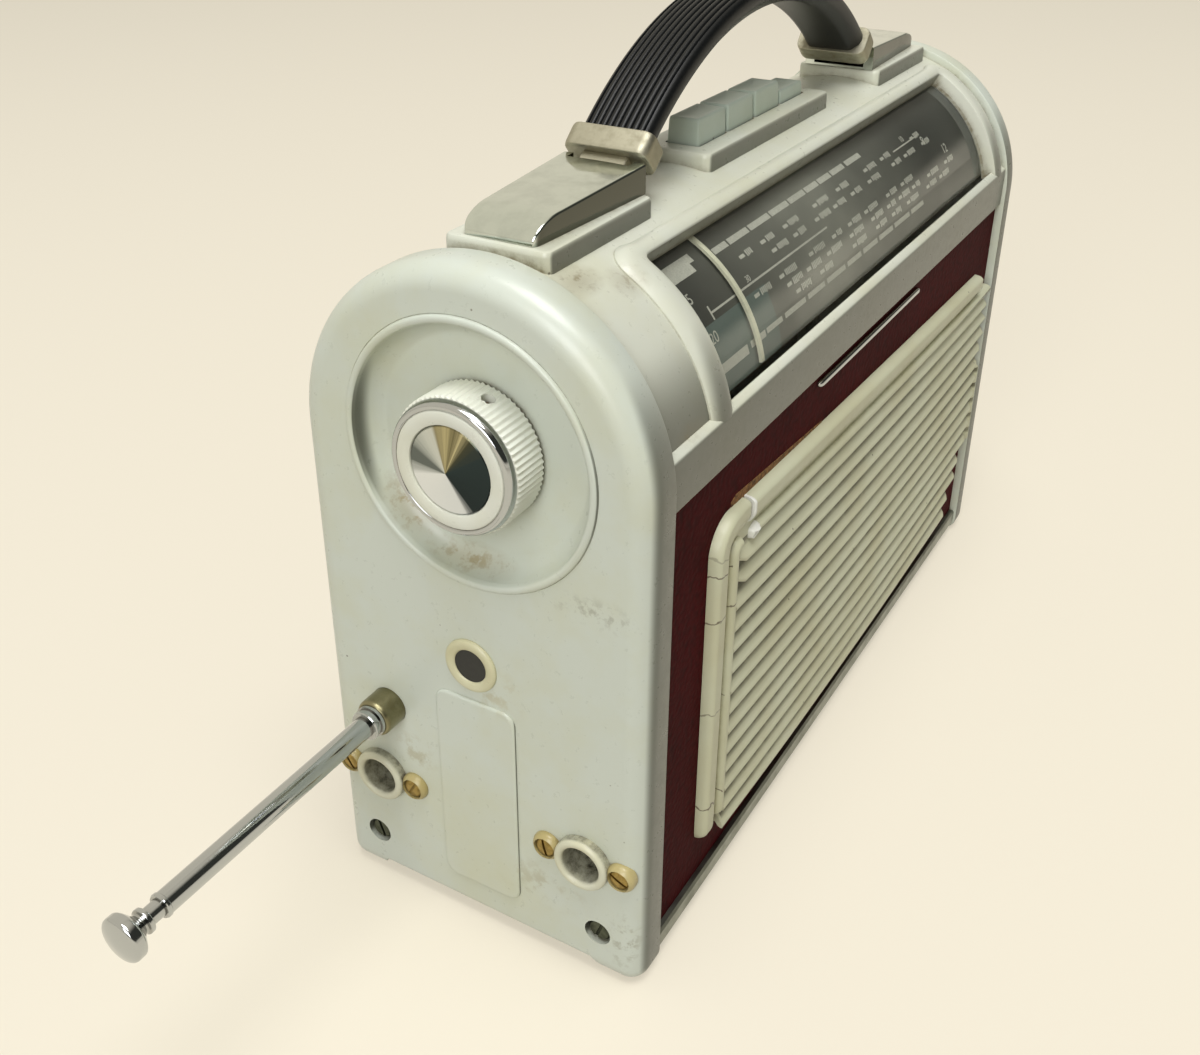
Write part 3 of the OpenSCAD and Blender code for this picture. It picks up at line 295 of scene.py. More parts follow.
def mixed(mat, share, *tones):
    # The first tone at share 0, the second at share 1; a tone is a hex, a colour or a (node, output) pair
    tones = [linear(tone) if isinstance(tone, str) else tone for tone in tones]
    return addNode(mat, "Mix", {0: share, 6: tones[0], 7: tones[1]}, data_type="RGBA"), 2


def noise(mat, size, detail, roughness=0.5):
    # Noise whose broadest features are `size` millimetres across
    values = {"Vector": here(mat), "Scale": 1 / (size * mm), "Detail": detail, "Roughness": roughness}
    return addNode(mat, "TexNoise", values)


def cells(mat, size, randomness, **settings):
    # Distance from the middles of cells that are `size` millimetres across
    values = {"Vector": here(mat), "Scale": 1 / (size * mm), "Randomness": randomness}
    return addNode(mat, "TexVoronoi", values, **settings)


def bumped(mat, height, strength, depth, **under):
    # A bump of `depth` millimetres, over the one given as Normal
    return addNode(mat, "Bump", {"Height": height, "Strength": strength, "Distance": depth * mm, **under})


def shutShare(mat, reach, opened, shut, samples):
    # From 0 to 1 as the share of open air within `reach` millimetres falls from opened to shut
    hollows = addNode(mat, "AmbientOcclusion", {"Distance": reach * mm}, samples=samples)
    return ranged(mat, (hollows, "AO"), opened, shut, 0, 1)


def frontShadeShare(mat, strength):
    # 0 on faces turned away from the front (-Y), rising to strength on those that face it: where shade is
    # painted
    normal = addNode(mat, "SeparateXYZ", {0: (addNode(mat, "NewGeometry"), "Normal")})
    return ranged(mat, (normal, "Y"), -0.76, -0.99, 0, strength, interpolation_type="SMOOTHSTEP")


def agedPlastic(name, **changes):
    # Moulded plastic gone old: soft gloss, faint mottling, warm stains, dirt and painted shade where faces
    # meet.
    # Faces toward the front take painted shade, a grey tone set by the way they face
    look = {
        "colour": "#ced4c8", "warm": "#cacbae", "stain": 0.75, "dirt": 0.85, "dirtColour": "#6b5c38",
        "dirtReach": 5.0, "dirtOpen": 0.66, "flecks": 0.8, "roughness": 0.3, "film": 0.0, "marks": None,
        **changes,
    }
    gloss = look["roughness"]
    mat, shader = newMaterial(name, {"Roughness": gloss, "IOR": 1.53})
    crumbs = noise(mat, 2.6, 6, 0.7)
    warmth = ranged(mat, noise(mat, 38, 5, 0.6), 0.42, 0.72, 0, look["stain"])
    tone = mixed(mat, warmth, look["colour"], look["warm"])
    # Dirt and painted shade: darker and browner where the surface is shut in, where shade falls
    shut = shutShare(mat, look["dirtReach"], look["dirtOpen"], look["dirtOpen"] - 0.42, 8)
    dirt = product(mat, shut, ranged(mat, crumbs, 0.34, 0.66, 0.25, 1))
    tone = mixed(mat, product(mat, dirt, look["dirt"]), tone, look["dirtColour"])
    tone = mixed(mat, ranged(mat, cells(mat, 11, 1.0), 0.035, 0.02, 0, look["flecks"]), tone, "#5d5238")
    # Painted shade: a dark grey tone on faces toward the front (-Y)
    if look["film"]:
        tone = mixed(mat, frontShadeShare(mat, look["film"]), tone, "#4a4c41")
    if look["marks"]:
        tone = look["marks"](mat, tone)
    link(mat, tone, shader, "Base Color")
    link(mat, ranged(mat, crumbs, 0.3, 0.7, gloss - 0.05, gloss + 0.09), shader, "Roughness")
    sink = bumped(mat, noise(mat, 9, 3), 0.12, 0.25)
    link(mat, bumped(mat, crumbs, 0.1, 0.05, Normal=sink), shader, "Normal")
    return mat


def smears(table):
    # Scuffs and stains over the colour below, each an ellipsoid about a place on the case, broken up by
    # noise: (centre, half sizes, colour, strength, grain of the noise, share of it between the grains)
    def lay(mat, tone):
        # The share of each colour falls from its strength at the centre to 0 at the ellipsoid's surface
        for centre, size, colour, strength, grain, soft in table:
            middle = [c * mm + m for c, m in zip(centre, caseMiddle)]
            offset = addNode(mat, "VectorMath", {0: here(mat), 1: middle}, operation="SUBTRACT")
            stretch = {0: offset, 1: [1 / (s * mm) for s in size]}
            scaled = addNode(mat, "VectorMath", stretch, operation="MULTIPLY")
            reach = addNode(mat, "VectorMath", {0: scaled}, operation="LENGTH")
            near = ranged(mat, (reach, "Value"), 1.0, 0.2, 0, 1)
            bits = ranged(mat, noise(mat, grain, 5, 0.65), 0.5, 0.62, soft * strength, strength)
            tone = mixed(mat, product(mat, near, bits), tone, colour)
        return tone

    return lay


def metal(name, colour, roughness, smudge=0.08, tarnish=0.0, tarnishAndShadeColour="#6a5f44", grain=7.0, front=0.0):
    # Plated or bare metal: mirror to satin, smudged unevenly, with tarnish in the hollows and, by front,
    # painted shade and painted dark reflection in the tarnish colour on what faces the front
    mat, shader = newMaterial(name, {"Metallic": 1.0, "Roughness": roughness})
    film = noise(mat, grain, 6, 0.62)
    rough = ranged(mat, film, 0.35, 0.7, max(roughness - smudge * 0.4, 0.02), roughness + smudge)
    link(mat, rough, shader, "Roughness")
    stained = product(mat, ranged(mat, film, 0.44, 0.66, 0.15, 1.0), tarnish)
    closed = product(mat, shutShare(mat, 4, 0.85, 0.35, 6), 0.6)
    share = maths(mat, "MAXIMUM", stained, closed)
    # Painted shade and painted dark reflection: faces toward the front take the tarnish colour
    if front:
        share = maths(mat, "MAXIMUM", share, frontShadeShare(mat, front))
    link(mat, mixed(mat, share, colour, tarnishAndShadeColour), shader, "Base Color")
    return mat


def leathercloth(name):
    # Vinyl leathercloth on board, embossed with a pebble grain 1.5 mm across: dark red with a dull gleam
    mat, shader = newMaterial(name, {"Roughness": 0.7, "IOR": 1.5, "Specular IOR Level": 0.06})
    pebbles = cells(mat, 1.5, 0.9, feature="SMOOTH_F1")
    tone = mixed(mat, ranged(mat, noise(mat, 26, 5), 0.4, 0.7, 0, 0.6), "#40060b", "#4d0b12")
    link(mat, mixed(mat, ranged(mat, pebbles, 0.35, 0.75, 0, 0.55), tone, "#210306"), shader, "Base Color")
    grain = bumped(mat, product(mat, pebbles, -1.0), 0.6, 0.3)
    link(mat, bumped(mat, noise(mat, 0.7, 4), 0.25, 0.1, Normal=grain), shader, "Normal")
    return mat


def plain(name, colour, roughness, metallic=0.0, grain=1.0, depth=0.1, spread=0.12, specular=0.5):
    # A simple finish with a fine grain in its tone and its surface
    values = {"Roughness": roughness, "Metallic": metallic, "IOR": 1.5, "Specular IOR Level": specular}
    mat, shader = newMaterial(name, values)
    grains = noise(mat, grain, 4)
    dark, light = (np.minimum(np.array(linear(colour)) * share, 1) for share in (1 - spread, 1 + spread))
    tone = mixed(mat, ranged(mat, grains, 0.3, 0.7, 0, 1), (*dark[:3], 1.0), (*light[:3], 1.0))
    link(mat, tone, shader, "Base Color")
    link(mat, bumped(mat, grains, 0.3, depth), shader, "Normal")
    return mat


def clearAcrylic(name):
    # Thin clear acrylic, hot-formed: see-through, with a mirror gloss that grows towards the edges
    # and a veil of fine dust; the shader is a mirror whose alpha follows Fresnel at 1.49
    mat, shader = newMaterial(name, {"Metallic": 1.0, "Roughness": 0.07, "Base Color": linear("#eef1ee")})
    outer = maths(mat, "SUBTRACT", 1.0, (addNode(mat, "NewGeometry"), "Backfacing"))
    gloss = product(mat, addNode(mat, "Fresnel", {"IOR": 1.49}), outer)
    veil = ranged(mat, noise(mat, 24, 6, 0.6), 0.4, 0.75, 0.0, 0.06)
    link(mat, maths(mat, "ADD", gloss, veil, use_clamp=True), shader, "Alpha")
    return mat


# Rubs on the left end panel and the two stains in its dish, then brown dirt on the shell beside the left
# pad, at the window frame's corner and along the window's edges
caseSmears = (
    ((-145, -36, 119), (4, 15, 5), "#8d8c7a", 0.5, 2.6, 0.0),
    ((-145, -6, 84), (4, 12, 9), "#b3aa84", 0.5, 4.0, 0.0),
    ((-145, 21, 52), (4, 9, 8), "#a59c78", 0.5, 3.5, 0.0),
    ((-145, -20, 24), (4, 16, 9), "#a8a182", 0.5, 4.5, 0.0),
    ((-145, -46, 16), (4, 7, 14), "#8e8a70", 0.6, 3.0, 0.0),
    ((-140, 21, 128), (6, 13, 11), "#94804e", 0.8, 3.0, 0.45),
    ((-140, 3, 119), (6, 16, 5), "#94804e", 0.7, 3.0, 0.4),
)
shellSmears = (
    ((-124, -19, 190.5), (9, 6, 5), "#73623c", 0.7, 2.4, 0.5),
    ((-112, -25, 188), (7, 6, 5), "#7c6b45", 0.55, 2.0, 0.5),
    ((-120, -44, 156), (11, 5, 5), "#7c6b45", 0.6, 2.6, 0.5),
    ((60, -45, 156), (60, 3, 3), "#85754c", 0.5, 3.5, 0.5),
    ((-70, -28, 187), (35, 4, 3), "#8f8a55", 0.55, 4.0, 0.5),
)
# The case and shell both take painted shade on faces toward the front
caseAbs = agedPlastic("aged_cream_polystyrene", marks=smears(caseSmears), film=0.86)
shellAbs = agedPlastic("aged_grey_polystyrene", colour="#d3d5c6", warm="#cbcaae", dirt=1.0, dirtOpen=0.76,
                       film=0.86, marks=smears(shellSmears))
knobPlastic = agedPlastic("knob_urea_plastic", colour="#e2e4d8", warm="#d9d8c0", dirtReach=2.0, dirt=0.45)
# The socket bores are near black deep inside: painted shade where they are shut in, with some dirt
socketPlastic = agedPlastic("socket_ivory_plastic", colour="#d3d3be", warm="#c8c196", dirtReach=11.0,
                            dirtOpen=0.88, dirt=1.0, dirtColour="#2a2114")
earPlastic = agedPlastic("yellowed_ivory_plastic", colour="#b9ab78", warm="#a08f55", dirtReach=2.5,
                         stain=0.9)
bezelPlastic = agedPlastic("port_ivory_plastic", colour="#d2cfae", warm="#c2ba88", dirtReach=2.0)
keyPlastic = agedPlastic("grey_green_key_plastic", colour="#b8c4b7", warm="#aeb9a6", dirtColour="#3f4238",
                         dirtReach=2.0, dirt=0.8, flecks=1.0, roughness=0.42)
chrome = metal("bright_chrome_plate", "#babdbe", 0.06, 0.08)
# The shoes, and the ferrules below, are painted dark on faces toward the front: painted shade and reflection
agedChrome = metal("worn_chrome_plate", "#d3dad3", 0.1, 0.16, 0.16, "#3d3a2b", 9.0, 0.9)
potMetal = metal("dull_nickel_on_zinc", "#aeab99", 0.5, 0.16, 0.4, "#77705a", 3.0, 0.4)
sleeveNickel = metal("browned_nickel", "#8f8a6c", 0.34, 0.14, 0.5, "#57502f", 4.0)
brassMetal = metal("tarnished_brass", "#a58d52", 0.38, 0.14, 0.6, "#4c4025", 1.5)
steelMetal = metal("dull_steel", "#9b9c98", 0.4, 0.12, 0.3, "#5d5a4c", 6.0)
darkSteel = metal("blackened_screw_steel", "#5d6152", 0.55, 0.12, 0.7, "#33352b", 2.0)
trimMetal = metal("grey_anodised_trim", "#8c8f86", 0.36, 0.12, 0.4, "#5b5d50", 8.0)
redCloth = leathercloth("dark_red_leathercloth")
rubber = plain("black_moulded_rubber", "#0b0d0e", 0.4, grain=0.8, depth=0.05, spread=0.3, specular=0.3)
darkPlastic = plain("matt_black_plastic", "#23231f", 0.6, grain=1.2)
clothBlack = plain("dark_speaker_cloth", "#17130f", 0.9, grain=0.5, depth=0.2, spread=0.5)
acrylic = clearAcrylic("clear_acrylic_window")
printWhite = plain("printed_scale_ink", "#b4b5a6", 0.6, grain=0.6, depth=0.01)
bareWhite = plain("freshly_broken_polystyrene", "#e6e6dd", 0.5, grain=1.5, depth=0.08, spread=0.05)
wovenCloth = plain("brown_woven_cloth", "#7a5630", 0.85, grain=1.0, depth=0.25, spread=0.75)
pointerCream = plain("cream_painted_pointer", "#d6d6bb", 0.45, grain=1.5, depth=0.02, spread=0.06)
print("materials made")


# End panels: one closed surface each, from the rim's inner edge round the outside to the hub of the dish

endPanel = {
    "rimBack": -case["innerX"], "rimInset": 5.2, "wall": 3.0, "footRadius": 5.6, "footInner": 38.0,
    "gapInner": 35.0, "gapZ": 5.0, "knobY": -1.0, "knobZ": 150.0, "beadOuter": 35.5, "beadInner": 33.5,
    "beadRise": 0.9, "floorRadius": 29.0, "dishDepth": 7.0, "hub": 3.4, "dishBack": -135.8,
    "archPoints": 240, "sidePoints": 56, "cornerPoints": 10, "basePoints": 120,
}
knobAxis = (0, endPanel["knobY"], endPanel["knobZ"])


def panelLoop(look, inset):
    # The panel seen along X, `inset` in from its edge: half circle, straight sides and round lower corners.
    # The gap between the feet lifts whatever lies below it
    half, axis = case["archRadius"] - inset, case["archZ"]
    corner = max(look["footRadius"] - inset, 0.04)
    t = np.linspace(0, np.pi, look["archPoints"])
    arch = np.stack([half * np.cos(t), axis + half * np.sin(t)], 1)
    share = np.linspace(0, 1, look["sidePoints"])[1:]
    seen = np.tan(share * math.atan2(axis, half))  # equal steps of angle as seen from the arch's axis
    side = axis - (axis - inset - corner) * (0.5 * share + 0.5 * seen / seen[-1])
    q = np.linspace(np.pi, 1.5 * np.pi, look["cornerPoints"])[1:]
    foot = np.stack([-half + corner + corner * np.cos(q), inset + corner + corner * np.sin(q)], 1)
    across = np.linspace(-1, 1, look["basePoints"])[1:-1] * (half - corner)
    base = np.stack([across, np.full(len(across), inset)], 1)
    left = np.stack([np.full(len(side), -half), side], 1)
    loop = np.vstack([arch, left, foot, base, (foot * [-1, 1])[::-1], (left * [-1, 1])[::-1]])
    slope = look["footInner"] - look["gapInner"]
    gap = look["gapZ"] * np.clip((look["footInner"] - np.abs(loop[:, 0])) / slope, 0, 1)
    return np.column_stack([loop[:, 0], np.maximum(loop[:, 1], gap)])


def endPanelPart(look):
    # Rings of (inset from the outline, x) for the outside, then (radius about the knob's axis, x) for the
    # dish: a step, a round bead, and a bowl that falls from the bead to the floor along a quarter wave
    centre, edge, back = np.array(knobAxis[1:]), case["edge"], look["rimBack"]
    turn = np.radians(np.linspace(0, 90, 13))
    outer = [(look["rimInset"], back), (0.5, back), (0.12, back - 0.15), (0, back - 0.5)]
    outer.append((0, face + edge + 0.4))
    outer += [(edge * (1 - math.cos(a)), face + edge * (1 - math.sin(a))) for a in turn]
    outer += [(edge + 0.5, face)]
    loops = [(x, panelLoop(look, inset)) for inset, x in outer]
    inner = loops[-1][1] - centre
    direction = inner / np.linalg.norm(inner, axis=1)[:, None]
    beadOut, beadIn, floorRadius = look["beadOuter"], look["beadInner"], look["floorRadius"]
    wide, half = beadOut + 1.0, (beadOut - beadIn) / 2
    for share in (0.12, 0.4, 0.7, 0.9):
        loops.append((face, inner * (1 - share) + direction * wide * share + centre))
    dish = [(wide, face), (wide - 0.75, face + 0.02), (wide - 0.9, face + 0.16), (wide - 0.97, face + 0.02)]
    for a in np.radians(np.linspace(0, 180, 13))[1:-1]:
        dish.append((beadOut - half + half * math.cos(a), face - look["beadRise"] * math.sin(a) ** 0.8))
    dish.append((beadIn - 0.05, face + 0.4))
    bowl = np.radians(np.linspace(0, 64, 15))
    drop = (beadIn - floorRadius) / (1 - math.cos(bowl[-1]))
    fall = (look["dishDepth"] - 0.5) / math.sin(bowl[-1])
    dish += [(beadIn - 0.1 - drop * (1 - math.cos(a)), face + 0.5 + fall * math.sin(a)) for a in bowl]
    dish += [(radius, face + look["dishDepth"]) for radius in (floorRadius - 0.6, 20, look["hub"])]
    dish += [(radius, look["dishBack"]) for radius in (look["hub"], floorRadius + 2.5)]
    dish.append((beadOut, face + look["wall"]))
    loops += [(x, direction * radius + centre) for radius, x in dish]
    loops.append((face + look["wall"], panelLoop(look, look["rimInset"])))
    rings = [np.column_stack([np.full(len(loop), x), loop]) for x, loop in loops]
    return skin(np.array(rings), False, False, wrapRows=True)


def roundCutter(y, z, radius, depth):
    # A plain round tool that enters the left panel's face, from 2 mm before it
    profile = [(face - 2, 0), (face - 2, radius), (face + depth, radius), (face + depth, 0)]
    return turned(profile, (0, y, z), "x", 64)


sockets = {"y": 33.0, "z": 40.0, "bodyRadius": 6.95, "earOffset": 11.2, "flange": 8.0, "bore": 5.5}
aerial = {"y": 29.0, "z": 65.5, "sleeve": 5.45}
port = {"y": 0.5, "z": 90.0, "outer": 7.8, "inner": 4.8}
panelScrew = {"y": 37.0, "z": 15.5, "radius": 3.9, "depth": 2.98}
plate = {"halfWidth": 12.5, "middle": 46.25, "halfHeight": 32.75, "out": 0.8, "corner": 4.0}

holes = [roundCutter(side * sockets["y"], sockets["z"], sockets["bodyRadius"], 5) for side in (-1, 1)]
holes.append(roundCutter(port["y"], port["z"], port["inner"] + 0.3, 5))
holes.append(roundCutter(aerial["y"], aerial["z"], aerial["sleeve"] + 0.05, 5))
counterbores = [
    roundCutter(side * panelScrew["y"], panelScrew["z"], panelScrew["radius"], panelScrew["depth"])
    for side in (-1, 1)
]
leftPanel = [endPanelPart(endPanel)]
plateEdge = [(0.12, -0.28), (0.35, -0.1), (0.7, -0.01), (1.2, 0.0)]
barePlate = mound((0, 0), plate["halfWidth"], plate["halfHeight"], plate["corner"], [(0, -0.4), (0, 0.25)],
                  plateEdge, level(plate["out"]), 10, (0.5,))
outwards = [[0, 0, -1], [1, 0, 0], [0, 1, 0]]  # a mound's x, y, z become the face's y, z and out
barePlate = moved(barePlate, outwards, (face, 0, plate["middle"]))
newPiece("left_end_moulding", leftPanel, "case", caseAbs, ["left_end_panel"],
         holes + counterbores)
newPiece("left_end_raised_plate", [barePlate], "case", caseAbs)
newPiece("right_end_moulding", mirrored(leftPanel), "case", caseAbs, ["right_end_panel"],
         mirrored(counterbores))
print("end panels made")


# Top shell: arched sheet with a raised frame round the window, bands, and pads for keys and handle

shell = {
    "windowLeft": -101.0, "windowRight": 121.0, "windowTop": 28.5, "windowBottom": 79.0,
    "frameWidth": 9.5, "frameTop": 5.4, "frameRise": 2.0, "frameCorner": 2.2, "bandOut": 1.2, "foot": 190.5,
    "keyPadHalf": (43.0, 11.5), "keyPadTop": 198.2,
    "shoePadTop": 197.5, "shoePadX": 80.0, "shoePadLength": 49.0, "shoePadHalf": 14.5,
}
keys = {"pitch": 18.6, "halfWidth": 8.7, "halfDepth": 5.0, "rise": 7.3, "hollow": 0.95, "down": 3.5,
        "skirt": 4.2, "gap": 0.4}


def frameProfile(rise):
    # (share of the width, height) from the window outwards: a wall down to the window, one broad crown
    # whose height is rise * (1 - 0.42 * |2t - 0.8| ** 2.4), and a foot on the shell
    t = np.linspace(0, 1, 21)
    wall = [[0.0, -3.6], [0.0, rise * 0.5], [0.015, rise * 0.68]]
    crown = np.stack([0.05 + 0.9 * t, rise * (1 - 0.42 * np.abs(2 * t - 0.8) ** 2.4)], 1)
    return np.vstack([wall, crown, [[0.985, rise * 0.22], [1.0, -0.4], [0.9, -1.6], [0.1, -3.6]]])


def frameLoop():
    # The frame's three sides as one run: up the left side, round a soft corner, along the top, down the
    # right to 1.5 degrees below the window, in steps of about 1.6 mm
    angles = (shell["windowTop"], shell["windowBottom"] + 1.5)
    top, low = (math.radians(angle) * case["shellRadius"] for angle in angles)
    left, right = shell["windowLeft"], shell["windowRight"]
    corners = [[left, low], [left, top], [right, top], [right, low]]
    line = softened(corners, shell["frameCorner"], 10, closed=False)
    dense = [line[:1]]
    for a, b in zip(line[:-1], line[1:]):
        count = max(int(np.linalg.norm(b - a) / 1.6), 1)
        dense.append(np.linspace(a, b, count + 1)[1:])
    line = np.vstack(dense)
    tangent = np.gradient(line, axis=0)
    tangent /= np.linalg.norm(tangent, axis=1)[:, None]
    outward = np.stack([tangent[:, 1], -tangent[:, 0]], 1)  # away from the window
    width = shell["frameTop"] + (shell["frameWidth"] - shell["frameTop"]) * np.abs(tangent[:, 1])
    profile = frameProfile(shell["frameRise"])
    flat = np.zeros((len(line), len(profile), 3))
    flat[..., :2] = line[:, None] + (outward * width[:, None])[:, None] * profile[None, :, :1]
    flat[..., 2] = profile[None, :, 1]
    return skin(ontoArch(flat))


def bandPart(side):
    # The flat band under the window, a soft-edged bar along X with eased ends
    back, out = case["shellInner"] + 0.4, case["shellRadius"] + shell["bandOut"]
    z0, z1 = case["bandZ"], case["bandTop"]
    corners = [(back, z0), (out - 0.1, z0), (out, z1 - 1.2), (out - 2.4, z1 + 0.2), (back, z1 - 1)]
    profile = softened([(side * y, z) for y, z in corners], [0.3, 0.9, 1.0, 0.8, 0.3], 4)
    reach = case["innerX"] - 0.15 - np.array([0, 0.15, 0.6])
    path = np.zeros((6, 3))
    path[:, 0] = [*-reach, *reach[::-1]]
    ease = [[0.985, 0.96], [0.995, 0.985], [1, 1]]
    return sweep(profile, path, (0, 1, 0), (0, 0, 1), ease + ease[::-1], (side * back, (z0 + z1) / 2))


def padPart(x0, x1, half, top, corner):
    # A pad on the crown: upright sides and a round upper edge
    walls = [(0, shell["foot"]), (0, top - 4.6), (0, top - 1.5)]
    crown = [(0.12, -0.7), (0.45, -0.22), (1.0, -0.02), (1.6, 0.0)]
    return mound(((x0 + x1) / 2, 0), (x1 - x0) / 2, half, corner, walls, crown, level(top), 8, (0.7, 0.4))


reach = case["innerX"] - 0.1
radii = (case["shellInner"], case["shellRadius"])
shellParts = [
    archSlab(*radii, -reach, shell["windowLeft"] - 2, shell["windowTop"] - 3.5, 84),
    archSlab(*radii, shell["windowRight"] + 2, reach, shell["windowTop"] - 3.5, 84),
    frameLoop(),
    bandPart(-1),
    bandPart(1),
]
for side in (-1, 1):
    ends = sorted((side * shell["shoePadX"], side * (shell["shoePadX"] + shell["shoePadLength"])))
    shellParts.append(padPart(*ends, shell["shoePadHalf"], shell["shoePadTop"], 2.2))
roof = archSlab(*radii, -reach, reach, -90, shell["windowTop"] - 3)
keyPad = padPart(-shell["keyPadHalf"][0], *shell["keyPadHalf"], shell["keyPadTop"], 2.5)
wellHalf = (keys["halfWidth"] + keys["gap"], keys["halfDepth"] + keys["gap"])
keyWells = [
    mound(((k - 1.5) * keys["pitch"], 0), *wellHalf, 0.8, [(0, 180.0)], [(0, 0)], level(215), 4, (0.5,))
    for k in range(4)
]
newPiece("arched_roof", [roof], "case", shellAbs, ["top_shell"], keyWells)
newPiece("window_frame_and_bands", shellParts, "case", shellAbs)
newPiece("key_pad", [keyPad], "case", shellAbs, (), keyWells)
print("top shell made")


# Window and printed scale; the pointer keeps the frame's own shape

window = {"radii": (43.5, 44.9), "ends": (-104.0, 123.5), "angles": (27.0, 80.0)}
scale = {"radii": (40.4, 41.4), "ends": (-110.5, 127.5), "angles": (26.5, 81.0), "radius": 41.4, "ink": 0.07}


def dialMaterial(name):
    # Screen-printed scale on card: dark olive grey that pales in clouds towards its middle, with a
    # green-grey lower left corner
    mat, shader = newMaterial(name, {"Roughness": 0.55, "IOR": 1.5})
    place = addNode(mat, "SeparateXYZ", {0: here(mat)})
    x0 = float(caseMiddle[0])
    away = maths(mat, "ABSOLUTE", maths(mat, "SUBTRACT", (place, "X"), x0 - 5 * mm))
    pale = product(mat, ranged(mat, away, 85 * mm, 15 * mm, 0, 1.6), noise(mat, 30, 4))
    low = maths(mat, "LESS_THAN", (place, "Z"), 170 * mm)
    left = maths(mat, "LESS_THAN", (place, "X"), x0 - 55 * mm)
    corner = product(mat, product(mat, low, left), 0.85)
    tone = mixed(mat, corner, mixed(mat, pale, "#3b3c36", "#7a7b6f"), "#5f6d65")
    link(mat, tone, shader, "Base Color")
    return mat


def scalePlace(v):
    # Distance round the scale; v runs from 0 at the window's top edge to 1 at its lower edge
    top, bottom = shell["windowTop"], shell["windowBottom"]
    return math.radians(top + v * (bottom - top)) * scale["radius"]


def inkBar(x0, x1, v0, v1):
    # A printed bar on the scale, in steps of 1.4 mm or more round it
    start, end = scalePlace(v0), scalePlace(v1)
    s = np.linspace(start, end, max(int((end - start) / 1.4), 1) + 1)
    flat = np.zeros((len(s), 4, 3))
    flat[..., 0] = [x0, x1, x1, x0]
    flat[..., 1] = s[:, None]
    flat[..., 2] = [0.0, 0.0, scale["ink"], scale["ink"]]
    return skin(ontoArch(flat, scale["radius"]))


def stationRow(seed, x0, x1, v, density):
    # A row of short printed strokes in clusters, as small names look from a step away, each cluster after
    # its marker bar; density is the share of places that have one
    height = 0.055
    random = np.random.default_rng(seed)
    bars, x = [], x0
    while x < x1:
        if random.random() < density:
            bars.append(inkBar(x, x + 2.8, v + height * 0.25, v + height * 0.75))
            x += 4.0
            for _ in range(int(random.integers(4, 9))):
                bars.append(inkBar(x, x + 0.55, v, v + height * random.uniform(0.75, 1.0)))
                x += 0.95
        x += random.uniform(2.5, 9.0)
    return bars


def scaleNumber(text, x, v, size):
    # A plain numeral bent onto the scale
    curve = bpy.data.curves.new("numeral", "FONT")
    curve.body, curve.size, curve.extrude = text, size, scale["ink"] / 2
    holder = addObject("numeral", curve)
    mesh = frozen(holder)
    points = np.zeros(len(mesh.vertices) * 3)
    mesh.vertices.foreach_get("co", points)
    points = points.reshape(-1, 3) * [1, -1, 1] + [x, scalePlace(v), scale["ink"] / 2]
    faces = [list(polygon.vertices) for polygon in mesh.polygons]
    bpy.data.objects.remove(holder)
    bpy.data.meshes.remove(mesh)
    return ontoArch(points, scale["radius"]), faces


# Rows of bars as (low, high, (x, length) of each), rows of strokes as for stationRow, and the numerals
barRows = (
    (0.06, 0.2, ((-99.5, 21.5),)), (0.06, 0.13, ((-78, 2.5),)),
    (0.13, 0.18, ((-66, 8), (-57, 12), (-44, 13), (-30, 12), (-17, 11), (-5, 9), (5, 9), (15, 10))),
    (0.13, 0.18, ((27, 12),)),
    (0.485, 0.5, ((-84, 76),)), (0.44, 0.545, ((-84.4, 0.6),)), (0.3, 0.313, ((60, 24),)),
    (0.83, 0.87, ((-62, 10), (-50, 14), (-34, 12), (-20, 14), (-4, 11), (9, 12), (23, 12), (37, 14))),
    (0.83, 0.87, ((53, 12),)),
    (0.83, 0.9, ((-94, 20),)), (0.83, 0.88, ((-72, 9),)),
)
stationRows = (
    (3, -58, 80, 0.27, 0.75), (5, -50, 96, 0.37, 0.8), (7, -62, 70, 0.56, 0.9), (9, -48, 100, 0.645, 0.85),
    (11, -40, 96, 0.73, 0.8),
)
numerals = (
    ("15", -92, 0.37, 4.2), ("6", -96, 0.52, 6.5), ("20", -90, 0.68, 4.2), ("30", -62, 0.475, 2.6),
    ("8", 84, 0.42, 4.6), ("12", 96, 0.6, 4.6), ("10", 70, 0.28, 3.0),
)
scalePrint = [inkBar(x, x + length, low, high) for low, high, bars in barRows for x, length in bars]
scalePrint += [bar for row in stationRows for bar in stationRow(*row)]
scalePrint += [scaleNumber(*numeral) for numeral in numerals]
dialCard = dialMaterial("printed_dial_card")
windowSlab, dialSlab = (archSlab(*look["radii"], *look["ends"], *look["angles"]) for look in (window, scale))
newPiece("scale_window", [windowSlab], "case", acrylic, ["dial_window"])
newPiece("printed_scale_plate", [dialSlab], "case", dialCard, ["dial_plate"])
newPiece("printed_scale_marks", scalePrint, "case", printWhite)
print("window and scale made")


# Knobs: fluted skirt, chrome ring and a spun cone

knob = {"back": -138.8, "skirtEnd": -149.4, "radius": 17.8, "front": -152.0, "apex": -153.2,
        "flutes": 72, "fluteDepth": 0.42}


